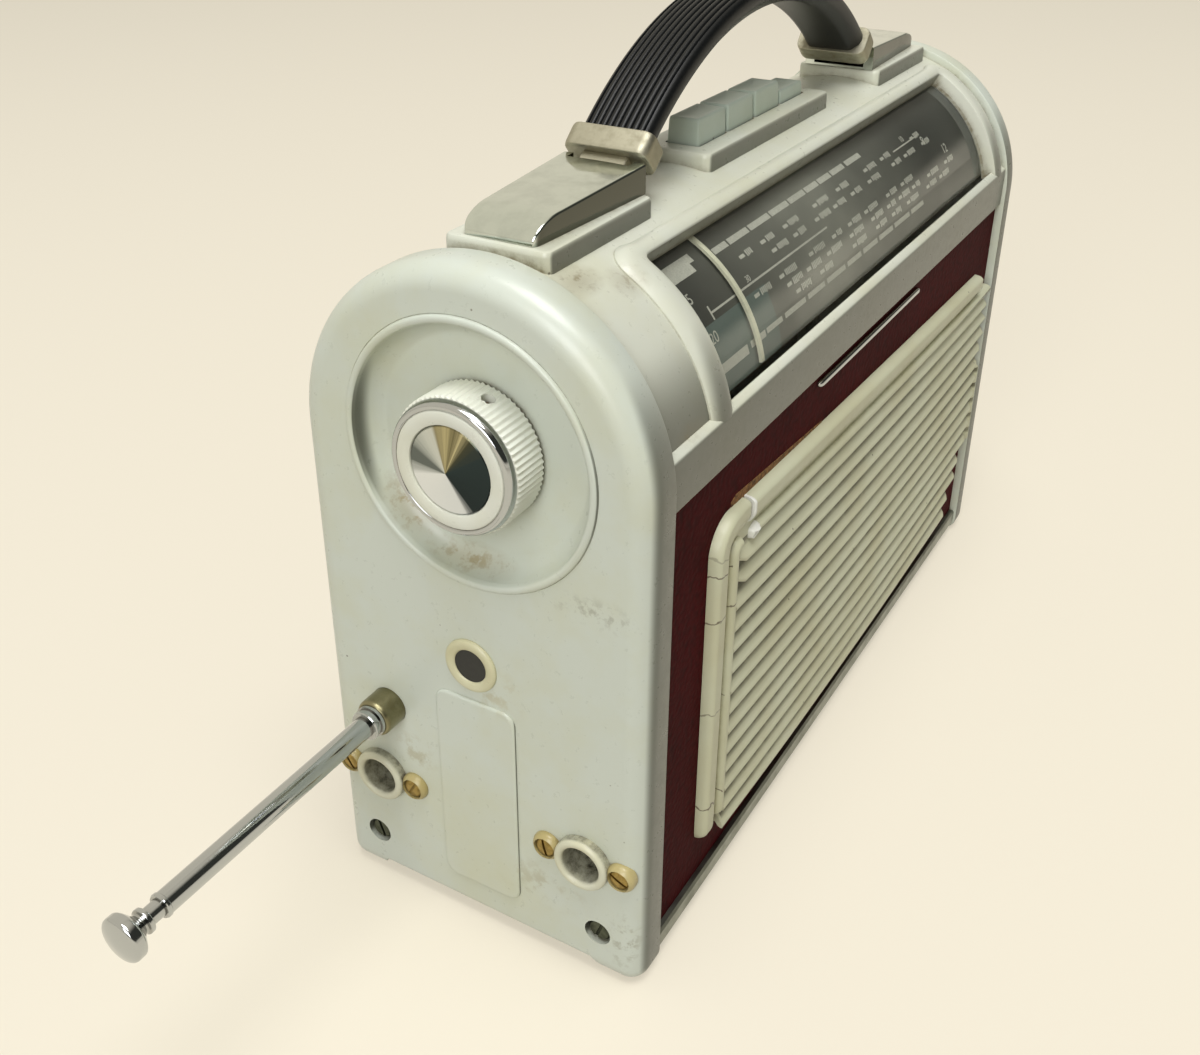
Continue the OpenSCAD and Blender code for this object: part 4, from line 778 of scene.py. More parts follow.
def skirtPart(look):
    # The skirt's radius dips by a cosine at each flute; the third number of a profile point is its share
    # of that dip
    def flute(angle):
        # From 0 between two flutes to the whole depth in one
        return -look["fluteDepth"] * (0.5 - 0.5 * np.cos(look["flutes"] * angle)) ** 0.8

    r, back, end, front = look["radius"], look["back"], look["skirtEnd"], look["front"]
    outside = [(back, 3.4, 0), (back, r - 1.2, 0), (back, r - 0.4, 1), (back - 0.3, r, 1), (end + 0.5, r, 1),
               (end + 0.1, r - 0.25, 0.8), (end, r - 0.7, 0), (end, r - 2.0, 0)]
    lip = ((0.5, 1.9), (0.5, 2.75), (0.16, 2.9), (0.04, 3.3), (0.1, 5.6), (0.35, 6.3), (0.8, 6.5),
           (2.2, 6.5), (2.2, r - 3.4))
    profile = outside + [(front + deep, r - inset, 0) for deep, inset in lip]
    return turned(profile, knobAxis, "x", look["flutes"] * 8, flute, closed=True)


def ringPart(look):
    # The bright ring on the skirt's end: a low wall and a round front edge
    r, end, front = look["radius"], look["skirtEnd"], look["front"]
    corners = [(end + 0.05, r - 2.1), (end + 0.05, r - 0.55), (front + 1.4, r - 0.75),
               (front + 0.35, r - 1.2), (front, r - 1.85), (front + 0.3, r - 2.7), (front + 1.0, r - 2.7)]
    profile = softened(corners, [0.1, 0.35, 0.6, 0.7, 0.6, 0.3, 0.1], 5)
    return turned(profile, knobAxis, "x", 160, closed=True)


def conePart(look):
    # A shallow cone with its rim inside the skirt's lip
    r, front, apex = look["radius"], look["front"], look["apex"]
    profile = [(front + 1.9, 0), (front + 1.9, r - 6.6), (front + 0.75, r - 6.62), (front + 0.5, r - 6.9),
               (front + 0.52, r - 7.3), (apex + 0.06, 0.35), (apex, 0.0)]
    return turned(profile, knobAxis, "x", 160)


def spunDiscPaintedGleams(name, fans):
    # Spun and polished disc: light and dark fans about its middle, painted reflections in its colour that
    # stand for the gleams a spun face shows. The tone follows the angle about the disc's axis, through a
    # ramp of fans, with finer streaks from noise on the direction
    mat, shader = newMaterial(name, {"Metallic": 1.0, "Roughness": 0.2})
    middle = [c * mm + m for c, m in zip(knobAxis, caseMiddle)]
    offset = addNode(mat, "VectorMath", {0: here(mat), 1: middle}, operation="SUBTRACT")
    parts = addNode(mat, "SeparateXYZ", {0: offset})
    angle = maths(mat, "ARCTAN2", (parts, "Z"), product(mat, (parts, "Y"), -1.0))
    share = ranged(mat, angle, -math.pi, math.pi, 0, 1)
    flat = addNode(mat, "VectorMath", {0: offset, 1: (0.0, 1.0, 1.0)}, operation="MULTIPLY")
    way = addNode(mat, "VectorMath", {0: flat}, operation="NORMALIZE")
    streak = addNode(mat, "TexNoise", {"Vector": way, "Scale": 4.0, "Detail": 3.0, "Roughness": 0.6})
    place = maths(mat, "ADD", share, ranged(mat, streak, 0.3, 0.7, -0.02, 0.02))
    ramp = addNode(mat, "ValToRGB", {0: place})
    for k, (at, tone) in enumerate(fans):
        stop = ramp.color_ramp.elements[k] if k < 2 else ramp.color_ramp.elements.new(at)
        stop.position, stop.color = at, linear(tone)
    link(mat, ramp, shader, "Base Color")
    return mat


# Tones of the painted reflections, by share of the turn about the disc's axis
spun = spunDiscPaintedGleams("spun_aluminium_disc", (
    (0.0, "#8b918e"), (0.06, "#dfe3e6"), (0.3, "#d6dbe0"), (0.35, "#2b3334"), (0.6, "#323c3d"),
    (0.665, "#4a4a3a"), (0.69, "#c2b992"), (0.72, "#6d674c"), (0.76, "#b7ae86"), (0.8, "#8f886a"),
    (0.83, "#c9cdc8"), (0.9, "#b2b7b3"), (0.96, "#676d6a"),
))
lean = math.radians(20)
leaned = [[1, 0, 0], [0, math.cos(lean), -math.sin(lean)], [0, math.sin(lean), math.cos(lean)]]
grubHole = turned([(5, 0), (5, 1.75), (19, 1.75), (19, 0)], (0, 0, 0), "z", 40)
grubHole = moved(grubHole, leaned, (-143.5, *knobAxis[1:]))
knobPieces = (
    # the piece's part, name, slot, material, node, holes and sharp angle
    (skirtPart(knob), "skirt", "knob", knobPlastic, "", [grubHole], 40),
    (ringPart(knob), "bright_ring", "bright", chrome, "_ring", (), 32),
    (conePart(knob), "cone", "bright", spun, "_cap", (), 20),
)
for body in ("tuning", "volume"):
    for part, name, slot, material, node, cutters, sharp in knobPieces:
        parts, tools = ([part], cutters) if body == "tuning" else (mirrored([part]), ())
        newPiece(f"{body}_knob_{name}", parts, body, material, [f"{body}_knob{node}"], tools, sharp)
print("knobs made")


# Push keys: upright caps with a hollow top, the fourth one down

for number in range(4):
    lowered = keys["down"] if number == 3 else 0.0
    high = shell["keyPadTop"] - lowered

    def hollowTop(x, y, high=high):
        # A round hollow along the cap's middle, 3.8 mm to either side
        return high + keys["rise"] - keys["hollow"] * (1 - (y / 3.8) ** 2) * (np.abs(y) < 3.8)

    walls = [(0, high - keys["skirt"]), (0, high), (0.3, high + 5.9)]
    crown = [(0.42, -0.75), (0.6, -0.3), (0.95, -0.08), (1.5, 0.0)]
    cap = mound(((number - 1.5) * keys["pitch"], 0), keys["halfWidth"], keys["halfDepth"], 0.9, walls, crown,
                hollowTop, 6, (0.85, 0.7, 0.5, 0.3, 0.1))
    key = number + 1
    newPiece(f"key_cap_{key}", [cap], f"key_{key}", keyPlastic, [f"push_key_{key}"], sharp=45)
print("keys made")


# Handle: ribbed strap, ferrules and bright shoes

handle = {
    "half": 76.0, "endZ": 205.3, "rise": 28.5, "width": 20.0, "thick": 8.0, "grooves": 9,
    "grooveDepth": 0.75, "ferruleWidth": 24.0, "ferruleThick": 10.2, "pinX": 82.2, "pinZ": 201.1,
    "barrel": 2.5, "cheek": 6.5, "shoeNose": 127.4, "shoeMouth": 80.0, "shoeZ": 197.5, "shoeLow": 5.8,
    "shoeTall": 7.5, "noseLength": 11.0,
}
strapRadius = (handle["half"] ** 2 + handle["rise"] ** 2) / (2 * handle["rise"])
strapCentre = handle["endZ"] + handle["rise"] - strapRadius
strapAngle = math.asin(handle["half"] / strapRadius)


def strapPart(look):
    # Section with narrow grooves between round ribs on its crown, carried along an arc
    half, h = look["width"] / 2, look["thick"] / 2
    flat = half * 0.8
    t = np.linspace(0, 1, look["grooves"] * 10 + 1)
    ribs = np.abs(np.sin(np.pi * look["grooves"] * t)) ** 0.45
    u = flat * (1 - 2 * t)
    crown = np.stack([u, h * (1 - 0.1 * (u / flat) ** 2) - look["grooveDepth"] * (1 - ribs)], 1)
    flank = np.radians(np.linspace(80, -60, 12))
    side = np.stack([flat + (half - flat) * np.cos(flank), h * 0.15 + h * 0.72 * np.sin(flank)], 1)
    under = np.array([[0.93, -0.9], [0.8, -0.97], [0, -1], [-0.8, -0.97], [-0.93, -0.9]]) * [flat, h]
    profile = np.vstack([crown[::-1], side, under, (side * [-1, 1])[::-1]])
    angle = np.linspace(-strapAngle, strapAngle, 140)
    out = np.stack([np.sin(angle), 0 * angle, np.cos(angle)], 1)
    return sweep(profile, strapRadius * out + [0, 0, strapCentre], (0, 1, 0), out)


def ferruleParts(look):
    # A flattened tube over the strap's left end, square to it, and the knuckle on its pin
    pinX, pinZ, endX, endZ = -look["pinX"], look["pinZ"], -look["half"], look["endZ"]
    along = np.array([math.cos(strapAngle), 0, math.sin(strapAngle)])
    out = (-math.sin(strapAngle), 0, math.cos(strapAngle))
    loop = roundedLoop(look["ferruleWidth"] / 2, look["ferruleThick"] / 2, 2.8, 7)
    reach = np.array([-2.0, -1.85, -1.4, -0.9, 3.4, 3.9, 4.35, 4.5])
    ease = np.array([0.93, 0.97, 0.99, 1, 1, 0.99, 0.97, 0.94])
    path = np.array([endX, 0, endZ]) + reach[:, None] * along
    band = sweep(loop, path, (0, 1, 0), out, np.stack([0.5 + ease / 2, ease], 1))
    radius, wide = look["barrel"], look["cheek"]
    drum = [(-wide, 0), (-wide, radius), (wide, radius), (wide, 0)]
    barrel = turned(softened(drum, [0.01, 0.4, 0.4, 0.01], 4, False), (pinX, 0, pinZ), "y", 48)
    corners = [(pinX - 0.8, pinZ - 2.2), (pinX + 4, pinZ - 0.6), (endX - 0.6, endZ - 2.6),
               (endX - 2.8, endZ + 0.8), (pinX - 1.4, pinZ + 2.0)]
    cheeks = [[0, y, 0] for y in (-wide, -wide + 0.3, wide - 0.3, wide)]
    shrink = [[0.9, 0.9], [1, 1], [1, 1], [0.9, 0.9]]
    web = sweep(softened(corners, 0.8, 4), cheeks, (1, 0, 0), (0, 0, 1), shrink, (pinX + 1.5, pinZ + 1))
    return [band, barrel, web]


def shoePart(look):
    # Height follows a quarter ellipse over the nose and then a slow rise; each cross-section is a wall,
    # a tight round edge and a nearly flat top
    length, noseLength, low = look["shoeNose"] - look["shoeMouth"], look["noseLength"], look["shoeLow"]
    front = noseLength * (1 - np.cos(np.radians(np.linspace(4, 90, 22))))
    along = np.concatenate([front, np.linspace(noseLength + 1, length, 24)])
    nose = np.clip(along / noseLength, 0, 1)
    slope = np.clip((along - noseLength) / (length - noseLength), 0, 1)
    height = 0.7 + (low - 0.7) * np.sqrt(1 - (1 - nose) ** 2) + (look["shoeTall"] - low) * slope
    half = 10 + 2 * along / length - 0.9 * np.exp(-along / 0.8)
    edge = np.minimum(0.7, height * 0.4)
    q = np.radians(np.linspace(0, 90, 6))
    across = np.linspace(1, -1, 17)[1:-1]
    wallY = half[:, None] - edge[:, None] * (1 - np.cos(q))
    wallZ = height[:, None] - edge[:, None] * (1 - np.sin(q))
    topY = (half - edge)[:, None] * across
    topZ = height[:, None] + 0.25 * (1 - across**2) * nose[:, None]
    foot = np.zeros((len(along), 1))
    y = np.hstack([half[:, None], wallY, topY, -wallY[:, ::-1], -half[:, None]])
    z = look["shoeZ"] + np.hstack([foot, wallZ, topZ, wallZ[:, ::-1], foot])
    x = np.broadcast_to(along[:, None] - look["shoeNose"], y.shape)
    return skin(np.stack([x, y, z], -1))


mouth = -handle["shoeMouth"]
mouthProfile = [(1, 0.7), (-9, 0.7), (-9, 5.4), (-3.2, 6.1), (-3.2, 9), (1, 9)]
mouthPath = [[mouth, -8.8, handle["shoeZ"]], [mouth, 8.8, handle["shoeZ"]]]
mouthCutter = [sweep(mouthProfile, mouthPath, (1, 0, 0), (0, 0, 1))]
shoe, ferrules = [shoePart(handle)], ferruleParts(handle)
newPiece("ribbed_strap", [strapPart(handle)], "case", rubber, ["handle_strap"], sharp=50)
newPiece("strap_ferrules", ferrules + mirrored(ferrules), "case", potMetal, ["handle_ferrules"])
newPiece("left_bright_shoe", shoe, "case", agedChrome, ["left_handle_shoe"], mouthCutter)
newPiece("right_bright_shoe", mirrored(shoe), "case", agedChrome, ["right_handle_shoe"],
         mirrored(mouthCutter))
print("handle made")


# Leathercloth front, cut round for the speaker

frontHole = turned([(-50, 0), (-50, 43.5), (-40, 43.5), (-40, 0)], (0, 0, 73.5), "y", 96)
frontBoard = slab(-133, 133, case["frontY"], case["frontY"] + 3.5, 8.0, case["bandZ"] + 1.0)
newPiece("leathercloth_front", [frontBoard], "case", redCloth, ["front_panel"], [frontHole])


# Grille: a broad bead and a narrow one up the left side and along the top, and louvres whose right ends
# have broken out of the frame. The whole has warped, so that it sags towards the right

grille = {
    "left": -108.5, "top": 124.0, "outer": 8.0, "rise": 3.5, "groove": 1.0, "inner": 4.0, "corner": 11.0,
    "innerCorner": 4.8, "back": -47.1, "bladeBack": -47.9, "legLow": 24.5, "right": 116.0, "breakX": -88.5,
    "fieldLeft": -95.5, "fieldTop": 111.0, "firstBlade": 111.6, "pitch": 6.8, "lean": 2.5,
    "ends": (127, 127.5, 128, 127, 126.5, 127.6, 127.6, 127.6, 127.6, 126, 119, 117.5, 111.5, 110),
    "cracks": ((117.0, -98, 0.35), (111.5, -99, 0.85), (98.5, -95, 0.8), (68.5, -99, 0.6), (35.5, -98, 0.8)),
}
warp = {
    "low": 24.0, "tall": 81.0, "drop": 0.6, "dropGain": 0.4, "slope": 0.007, "slopeGain": 0.021,
    "bow": 0.00023, "meanDrop": 0.9, "meanBow": 0.00021,
}


def sag(points):
    # Height gained at x: a drop and a slope that grow from the bottom of the grille to its top, and a
    # shallow bow, which fades out above the louvres
    x, z = points[..., 0], points[..., 2]
    share = np.clip((z - warp["low"]) / warp["tall"], 0, 1.25)
    drop, slope = (warp[key] + warp[key + "Gain"] * share for key in ("drop", "slope"))
    bow = warp["bow"] * np.clip((1.3 - share) / 0.4, 0, 1)
    out = points.copy()
    out[..., 2] += bow * x**2 - slope * x - drop
    return out


def grilleShadowGrimeAndCracks(mat, tone):
    # Painted shadow and grime under each louvre's lip, by the share of the pitch below its root, and
    # hairline cracks across the left bead. The height is first freed of the warp, with its mean drop and bow
    place = addNode(mat, "SeparateXYZ", {0: here(mat)})
    x, z = (place, "X"), (place, "Z")
    along = maths(mat, "SUBTRACT", x, float(caseMiddle[0]))
    top, steep = (warp["low"] + warp["tall"]) * mm, warp["slope"] + warp["slopeGain"]
    tilt = product(mat, along, ranged(mat, z, warp["low"] * mm, top, warp["slope"], steep))
    bowed = product(mat, product(mat, along, along), warp["meanBow"] / mm)
    flat = maths(mat, "SUBTRACT", maths(mat, "ADD", z, tilt), bowed)
    drop = maths(mat, "SUBTRACT", (grille["firstBlade"] - warp["meanDrop"]) * mm, flat)
    turns = product(mat, drop, 1 / (grille["pitch"] * mm))
    root = ranged(mat, maths(mat, "FRACT", turns), 0.38, 0.2, 0, 1)
    right = maths(mat, "GREATER_THAN", along, (grille["fieldLeft"] - 0.1) * mm)
    field = product(mat, maths(mat, "GREATER_THAN", turns, 0.0), right)
    uneven = ranged(mat, noise(mat, 5, 5, 0.65), 0.3, 0.6, 0.5, 0.95)
    # Painted shadow under each lip, with grime, in dark olive brown
    tone = mixed(mat, product(mat, product(mat, root, field), uneven), tone, "#3b3718")
    wavy = maths(mat, "ADD", z, ranged(mat, noise(mat, 6, 3), 0.3, 0.7, -1.4 * mm, 1.4 * mm))
    for height, end, strength in grille["cracks"]:
        distance = maths(mat, "ABSOLUTE", maths(mat, "SUBTRACT", wavy, height * mm))
        line = ranged(mat, distance, 0.34 * mm, 0.12 * mm, 0, strength)
        side = maths(mat, "LESS_THAN", along, end * mm)
        tone = mixed(mat, product(mat, line, side), tone, "#4b3a28")
    return tone


def broadBead(width, rise):
    # Across the bead from its outer edge: a quick round rise, a flat crown, a long fall to the groove
    t = np.linspace(0, 1, 33)
    climb = (1 - np.clip(1 - t / 0.24, 0, 1) ** 2.3) ** 0.5
    fall = 1 - 0.5 * np.clip((t - 0.52) / 0.48, 0, 1) ** 1.8
    last = np.clip((1 - t) / 0.05, 0, 1) ** 0.5
    return np.stack([width * t, rise * climb * fall * last], 1)


def roundBead(width, rise):
    # Across the narrow bead: half an oval with full shoulders
    t = np.radians(np.linspace(0, 180, 21))
    return np.stack([width / 2 - width / 2 * np.cos(t), rise * np.sin(t) ** 0.7], 1)


def beadRun(profile, points, ends, lift=None):
    # A bead along a line in the front plane, given by its outer edge; its ends are rounded over the
    # distances in ends, and lift gives the share of its height along the line
    line = np.array(points, float)
    tangent = np.gradient(line, axis=0)
    tangent /= np.linalg.norm(tangent, axis=1)[:, None]
    flat = np.zeros(len(line))
    path = np.stack([line[:, 0], flat + grille["back"], line[:, 1]], 1)
    across = np.stack([tangent[:, 1], flat, -tangent[:, 0]], 1)
    size = np.ones((len(line), 2))
    if lift is not None:
        size[:, 1] = lift
    turn = np.radians(np.array([90, 75, 60, 45, 30, 15]))
    for reach, at, way in ((ends[0], 0, -1), (ends[1], -1, 1)):
        if not reach:
            continue
        onward = way * np.array([tangent[at][0], 0, tangent[at][1]])
        extra = path[at] + np.outer(reach * np.sin(turn), onward)
        shrink = np.stack([0.72 + 0.28 * np.cos(turn), 0.1 + 0.9 * np.cos(turn)], 1) * size[at]
        grown = ((extra, path), (shrink, size), (np.tile(across[at], (6, 1)), across))
        path, size, across = (np.vstack([new, old] if way < 0 else [old, new[::-1]]) for new, old in grown)
    points, faces = sweep(profile, path, across, (0, -1, 0), size, (profile[:, 0].mean(), 0))
    return sag(points), faces


def cornerLine(look, inset, corner, low, right):
    # Up the left side, round the corner and along the top, `inset` in from the grille's edge
    t = np.radians(np.linspace(180, 90, 28))
    left, top = look["left"] + inset, look["top"] - inset
    centre = np.array([left + corner, top - corner])
    bend = centre + corner * np.stack([np.cos(t), np.sin(t)], 1)
    up = np.linspace([left, low], [left, centre[1] - 0.5], 30)
    return np.vstack([up, bend]), np.linspace([centre[0] + 0.5, top], [right, top], 90)


def slatPart(look, number, random):
    # One louvre: a blade that leans out to a round lip, its right end broken off unevenly
    z = look["firstBlade"] - number * look["pitch"]
    back, left = look["bladeBack"], look["fieldLeft"]
    lip = back - look["lean"]
    corners = [(back + 0.7, z + 0.4), (back, z), (lip - 0.1, z - 4.3), (lip - 0.25, z - 5.2),
               (lip + 0.15, z - 5.75), (lip + 1.3, z - 5.4), (back + 0.7, z - 2.6)]
    profile = softened(corners, [0.2, 0.4, 0.9, 0.5, 0.35, 0.5, 0.3], 4)
    end = look["ends"][number]
    x = np.concatenate([[left - 1.2], np.linspace(left, end - 1, 60), [end]])
    points = np.zeros((len(x), len(profile), 3))
    points[..., 0] = x[:, None]
    points[..., 1:] = profile[None]
    wave = 0.1 * np.sin(x / 31 + number) + 0.07 * np.sin(x / 13 + 2.1 * number)
    points[..., 2] += wave[:, None]
    if number < 2:  # the lip is chipped away at the left end
        chip = 1 - np.clip((x - left - 3.2 + number) / 0.5, 0, 1)
        low = np.clip((z - 3.2 - profile[:, 1]) / 1.6, 0, 1)
        points[..., 1:] += (chip[:, None] * low[None])[..., None] * [0.7, 1.7]
    heights = np.sort(profile[:, 1])[[0, 10, 20, -1]]
    points[-1, :, 0] += np.interp(profile[:, 1], heights, random.uniform(-1.6, 1.1, 4))
    return skin(sag(points))


grillePlastic = agedPlastic("aged_grille_polystyrene", colour="#cfd0b3", warm="#c3bf9a", roughness=0.38,
                            marks=grilleShadowGrimeAndCracks)
random = np.random.default_rng(21)
breakX, back, boardY = grille["breakX"], grille["back"], case["frontY"] - 0.02
wide, narrow = broadBead(grille["outer"], grille["rise"]), roundBead(grille["inner"], grille["rise"])
innerInset = grille["outer"] + grille["groove"]
leg, topRun = cornerLine(grille, 0, grille["corner"], grille["legLow"], grille["right"])
innerLeg, innerRun = cornerLine(grille, innerInset, grille["innerCorner"], grille["legLow"] + 1.5, 130.0)
cornerPiece = np.vstack([leg, topRun[topRun[:, 0] < breakX - 0.4]])
sunk = 1 - 0.22 * np.clip((cornerPiece[:, 0] - grille["left"] - 6) / 14, 0, 1) * (cornerPiece[:, 1] > 108)
laterRun = np.vstack([[breakX, grille["top"]], topRun[topRun[:, 0] > breakX + 0.6]])
grilleParts = [
    beadRun(wide, cornerPiece, (3.6, 0.0), sunk),
    beadRun(wide, laterRun, (0.0, 2.2)),
    beadRun(narrow, innerLeg, (2.6, 0.4)),
    beadRun(narrow, innerRun[innerRun[:, 0] > breakX + 2.5], (0.5, 1.0)),
]
grilleParts += [slatPart(grille, number, random) for number in range(14)]
# Webs behind the beads and the louvres
left, top, webBack = grille["left"], grille["top"], back - 1.6
webs = [
    slab(left + 1.2, grille["fieldLeft"] + 0.6, webBack, boardY, grille["legLow"], top - 10),
    slab(left + 9, grille["right"] - 1, webBack, boardY, grille["fieldTop"] - 1, top - 1.2),
]
webs += [slab(x, x + 2, -48.3, boardY, 18.4, grille["firstBlade"]) for x in (-96.2, -50, 0, 50, 105)]
grilleParts += [(sag(points), faces) for points, faces in webs]
fragment = np.linspace([131.6, 77.0], [131.6, 44.6], 12)
grilleParts.append(beadRun(roundBead(4.2, 3.4), fragment, (0.8, 0.8)))
newPiece("louvred_grille", grilleParts, "case", grillePlastic, ["grille"], sharp=38)

# Where the top bead broke from the corner, clean white plastic shows on the broken face and on a chip
# beside it
broken = [[breakX + x, top] for x in (-0.35, 0.0, 0.55)]
brokenBead = broadBead(grille["outer"], grille["rise"] + 0.12) + [-0.06, 0]
breakFace = beadRun(brokenBead, broken, (0.0, 0.0), [0.9, 1.0, 1.0])
lump = mound((0, 0), 2.1, 1.7, 1.0, [(0, 0), (0.1, 1.6)], [(0.35, -0.2), (0.9, 0.0)],
             lambda x, y: 2.9 + 0.35 * np.sin(2.3 * x + 1) + 0.3 * np.sin(3.1 * y), 5)
lump = moved(lump, [[1, 0, 0], [0, 0, -1], [0.35, 1, 0]], (breakX + 2.2, back - 0.6, top - innerInset - 2.2))
newPiece("broken_bead_edge", [breakFace, (sag(lump[0]), lump[1])], "case", bareWhite)

# Edge of the woven cloth that shows above the top bead near the corner, tapering away to the right
hem = [(-96.5, 122.5), (-36.0, 122.0), (-36.0, 124.6), (-38.7, 124.8), (-60.0, 126.4), (-80.0, 127.8),
       (-93.4, 128.8), (-96.5, 127.8)]
hemPath = [[0, case["frontY"] - 0.22, 0], [0, case["frontY"] + 0.3, 0]]
newPiece("woven_cloth_edge", [sweep(hem, hemPath, (1, 0, 0), (0, 0, 1))], "case", wovenCloth)
print("grille made")

# A plain bright bar where the front carries its badge
bar = {"x0": -42.0, "x1": 43.0, "z": 138.4, "half": 1.1, "out": 1.7}
barLoop = [(bar["z"] + bar["half"] * side, bar["out"] * rise)
           for side, rise in ((-1, 0), (1, 0), (0.8, 0.8), (0, 1), (-0.8, 0.8))]
barEase = np.array([0, 0.2, 0.8, 2.0])
barPath = np.zeros((9, 3))
barPath[:, 0] = [*(bar["x0"] + barEase), 0, *(bar["x1"] - barEase[::-1])]
barPath[:, 1] = case["frontY"] + 0.02
barSize = [[share, share] for share in (0.3, 0.62, 0.88, 1, 1, 1, 0.88, 0.62, 0.3)]
barPart = sweep(softened(barLoop, [0.05, 0.05, 0.5, 0.5, 0.5], 4), barPath, (0, 0, 1), (0, -1, 0), barSize,
                (bar["z"], 0))
newPiece("plain_bright_bar", [barPart], "case", chrome)


# Sockets, screws and the service port on the left panel

screw = {"radius": 2.9, "height": 0.9, "slotWidth": 0.75, "slotDepth": 0.6, "turns": (25, 75, 120, 60)}


def screwHead(look):
    # A domed head facing up and the bar that cuts its slot
    radius, height, half = look["radius"], look["height"], look["slotWidth"] / 2
    reach = np.array([0.0, 0.25, 0.5, 0.7, 0.85, 0.94, 1.0, 1.0]) * radius
    rise = height * np.array([1.0, 0.99, 0.95, 0.88, 0.76, 0.6, 0.35, -0.8])
    angle = np.linspace(0, 2 * np.pi, 96, endpoint=False)
    x, y = reach[:, None] * np.cos(angle), reach[:, None] * np.sin(angle)
    dome = skin(np.stack([x, y, np.repeat(rise[:, None], 96, 1)], -1), False)
    low, high, wide = height - look["slotDepth"], height + 1, radius + 1
    profile = [(-wide, low), (wide, low), (wide, high), (-wide, high)]
    return dome, sweep(profile, [[0, -half, 0], [0, half, 0]], (1, 0, 0), (0, 0, 1))


def facingOut(part, turn, place):
    # Turns a part that faces up so that it faces out of the left panel, after a turn about its own axis
    c, s = math.cos(math.radians(turn)), math.sin(math.radians(turn))
    return moved(part, np.array(outwards) @ [[c, -s, 0], [s, c, 0], [0, 0, 1]], place)


def socketPart(y):
    # A ring with a fat rolled lip, its bore stepped inside
    bore, flange = sockets["bore"], sockets["flange"]
    middle, thick, shoulder, bottom = (bore + flange) / 2, (flange - bore) / 2, face + 8, face + 12.5
    profile = [(face + 0.1, flange), (face - 1.0, flange)]
    for a in np.radians(np.linspace(-10, 190, 15)):
        profile.append((face - 1.9 - 1.3 * math.sin(a), middle + thick * math.cos(a)))
    profile += [(face - 1.2, bore), (shoulder, bore), (shoulder, bore - 0.7), (bottom, bore - 0.7)]
    profile += [(bottom, 0), (face + 14, 0), (face + 14, flange - 1.1), (face + 0.1, flange - 1.1)]
    return turned(profile, (0, y, sockets["z"]), "x", 96, closed=True)


def earPart(y):
    # The round ear at a socket's side, hollow for its screw
    r = 4.2
    profile = [(face + 1, 0), (face + 1, r), (face - 1.2, r), (face - 2.2, r - 1.1), (face - 2.2, 3.15),
               (face - 1.2, 3.05), (face - 1.2, 0)]
    profile = softened(profile, [0.01, 0.1, 0.8, 0.9, 0.25, 0.1, 0.01], 4, False)
    return turned(profile, (0, y, sockets["z"]), "x", 64)


for side, name, node in ((1, "aerial_socket", "antenna_socket"), (-1, "pickup_socket", "gramophone_socket")):
    y, offset = side * sockets["y"], sockets["earOffset"]
    newPiece(f"{name}_ring", [socketPart(y)], "case", socketPlastic, [node])
    newPiece(f"{name}_ears", [earPart(y - offset), earPart(y + offset)], "case", earPlastic)
heads, slots = [], []
for k, turn in enumerate(screw["turns"]):
    y = (k // 2 * 2 - 1) * sockets["y"] + (k % 2 * 2 - 1) * sockets["earOffset"]
    head, slot = (facingOut(part, turn, (face - 1.1, y, sockets["z"])) for part in screwHead(screw))
    heads.append(head)
    slots.append(slot)
newPiece("socket_screw_heads", heads, "case", brassMetal, ["socket_screws"], slots)
inner, outer = port["inner"], port["outer"]
bezel = [(face + 0.1, inner - 0.1), (face + 0.1, outer), (face - 0.6, outer), (face - 1.25, outer - 0.8),
         (face - 1.1, inner + 0.7), (face - 0.7, inner)]
bezel = softened(bezel, [0.05, 0.05, 0.35, 0.7, 0.5, 0.3], 4)
portRing = turned(bezel, (0, port["y"], port["z"]), "x", 96, closed=True)
newPiece("port_ring", [portRing], "case", bezelPlastic, ["port_bezel"])
print("panel fittings made")


# Aerial: the sleeve and the tip button; the tube and the sliding sections are the frame's own

aerialAxis = (0, aerial["y"], aerial["z"])
sleeve = [(-137, 4.62), (-137, 5.44), (-151.6, 5.44), (-152.5, 4.95), (-152.5, 4.62)]
sleeve = turned(softened(sleeve, [0.05, 0.05, 0.5, 0.3, 0.05], 4), aerialAxis, "x", 72, closed=True)
newPiece("aerial_sleeve", [sleeve], "case", sleeveNickel, ["antenna_sleeve"])
tipX = -233.0
tip = [(0, 0), (0, 3.3), (1.2, 3.35), (1.7, 2.5), (2.5, 2.7), (4.6, 5.5), (5.1, 6.0), (7.3, 6.0), (7.9, 5.4),
       (8.5, 3.6), (9.0, 0)]
tipRounds = [0.01, 0.3, 0.3, 0.4, 0.5, 0.4, 0.35, 0.4, 0.5, 1.5, 0.01]
tip = turned(softened([(tipX - x, r) for x, r in tip], tipRounds, 5, False), aerialAxis, "x", 72)
newPiece("aerial_tip_button", [tip], "aerial_3", chrome, ["antenna_tip"])
print("aerial made")


# CAD nodes whose shape stays, by finish

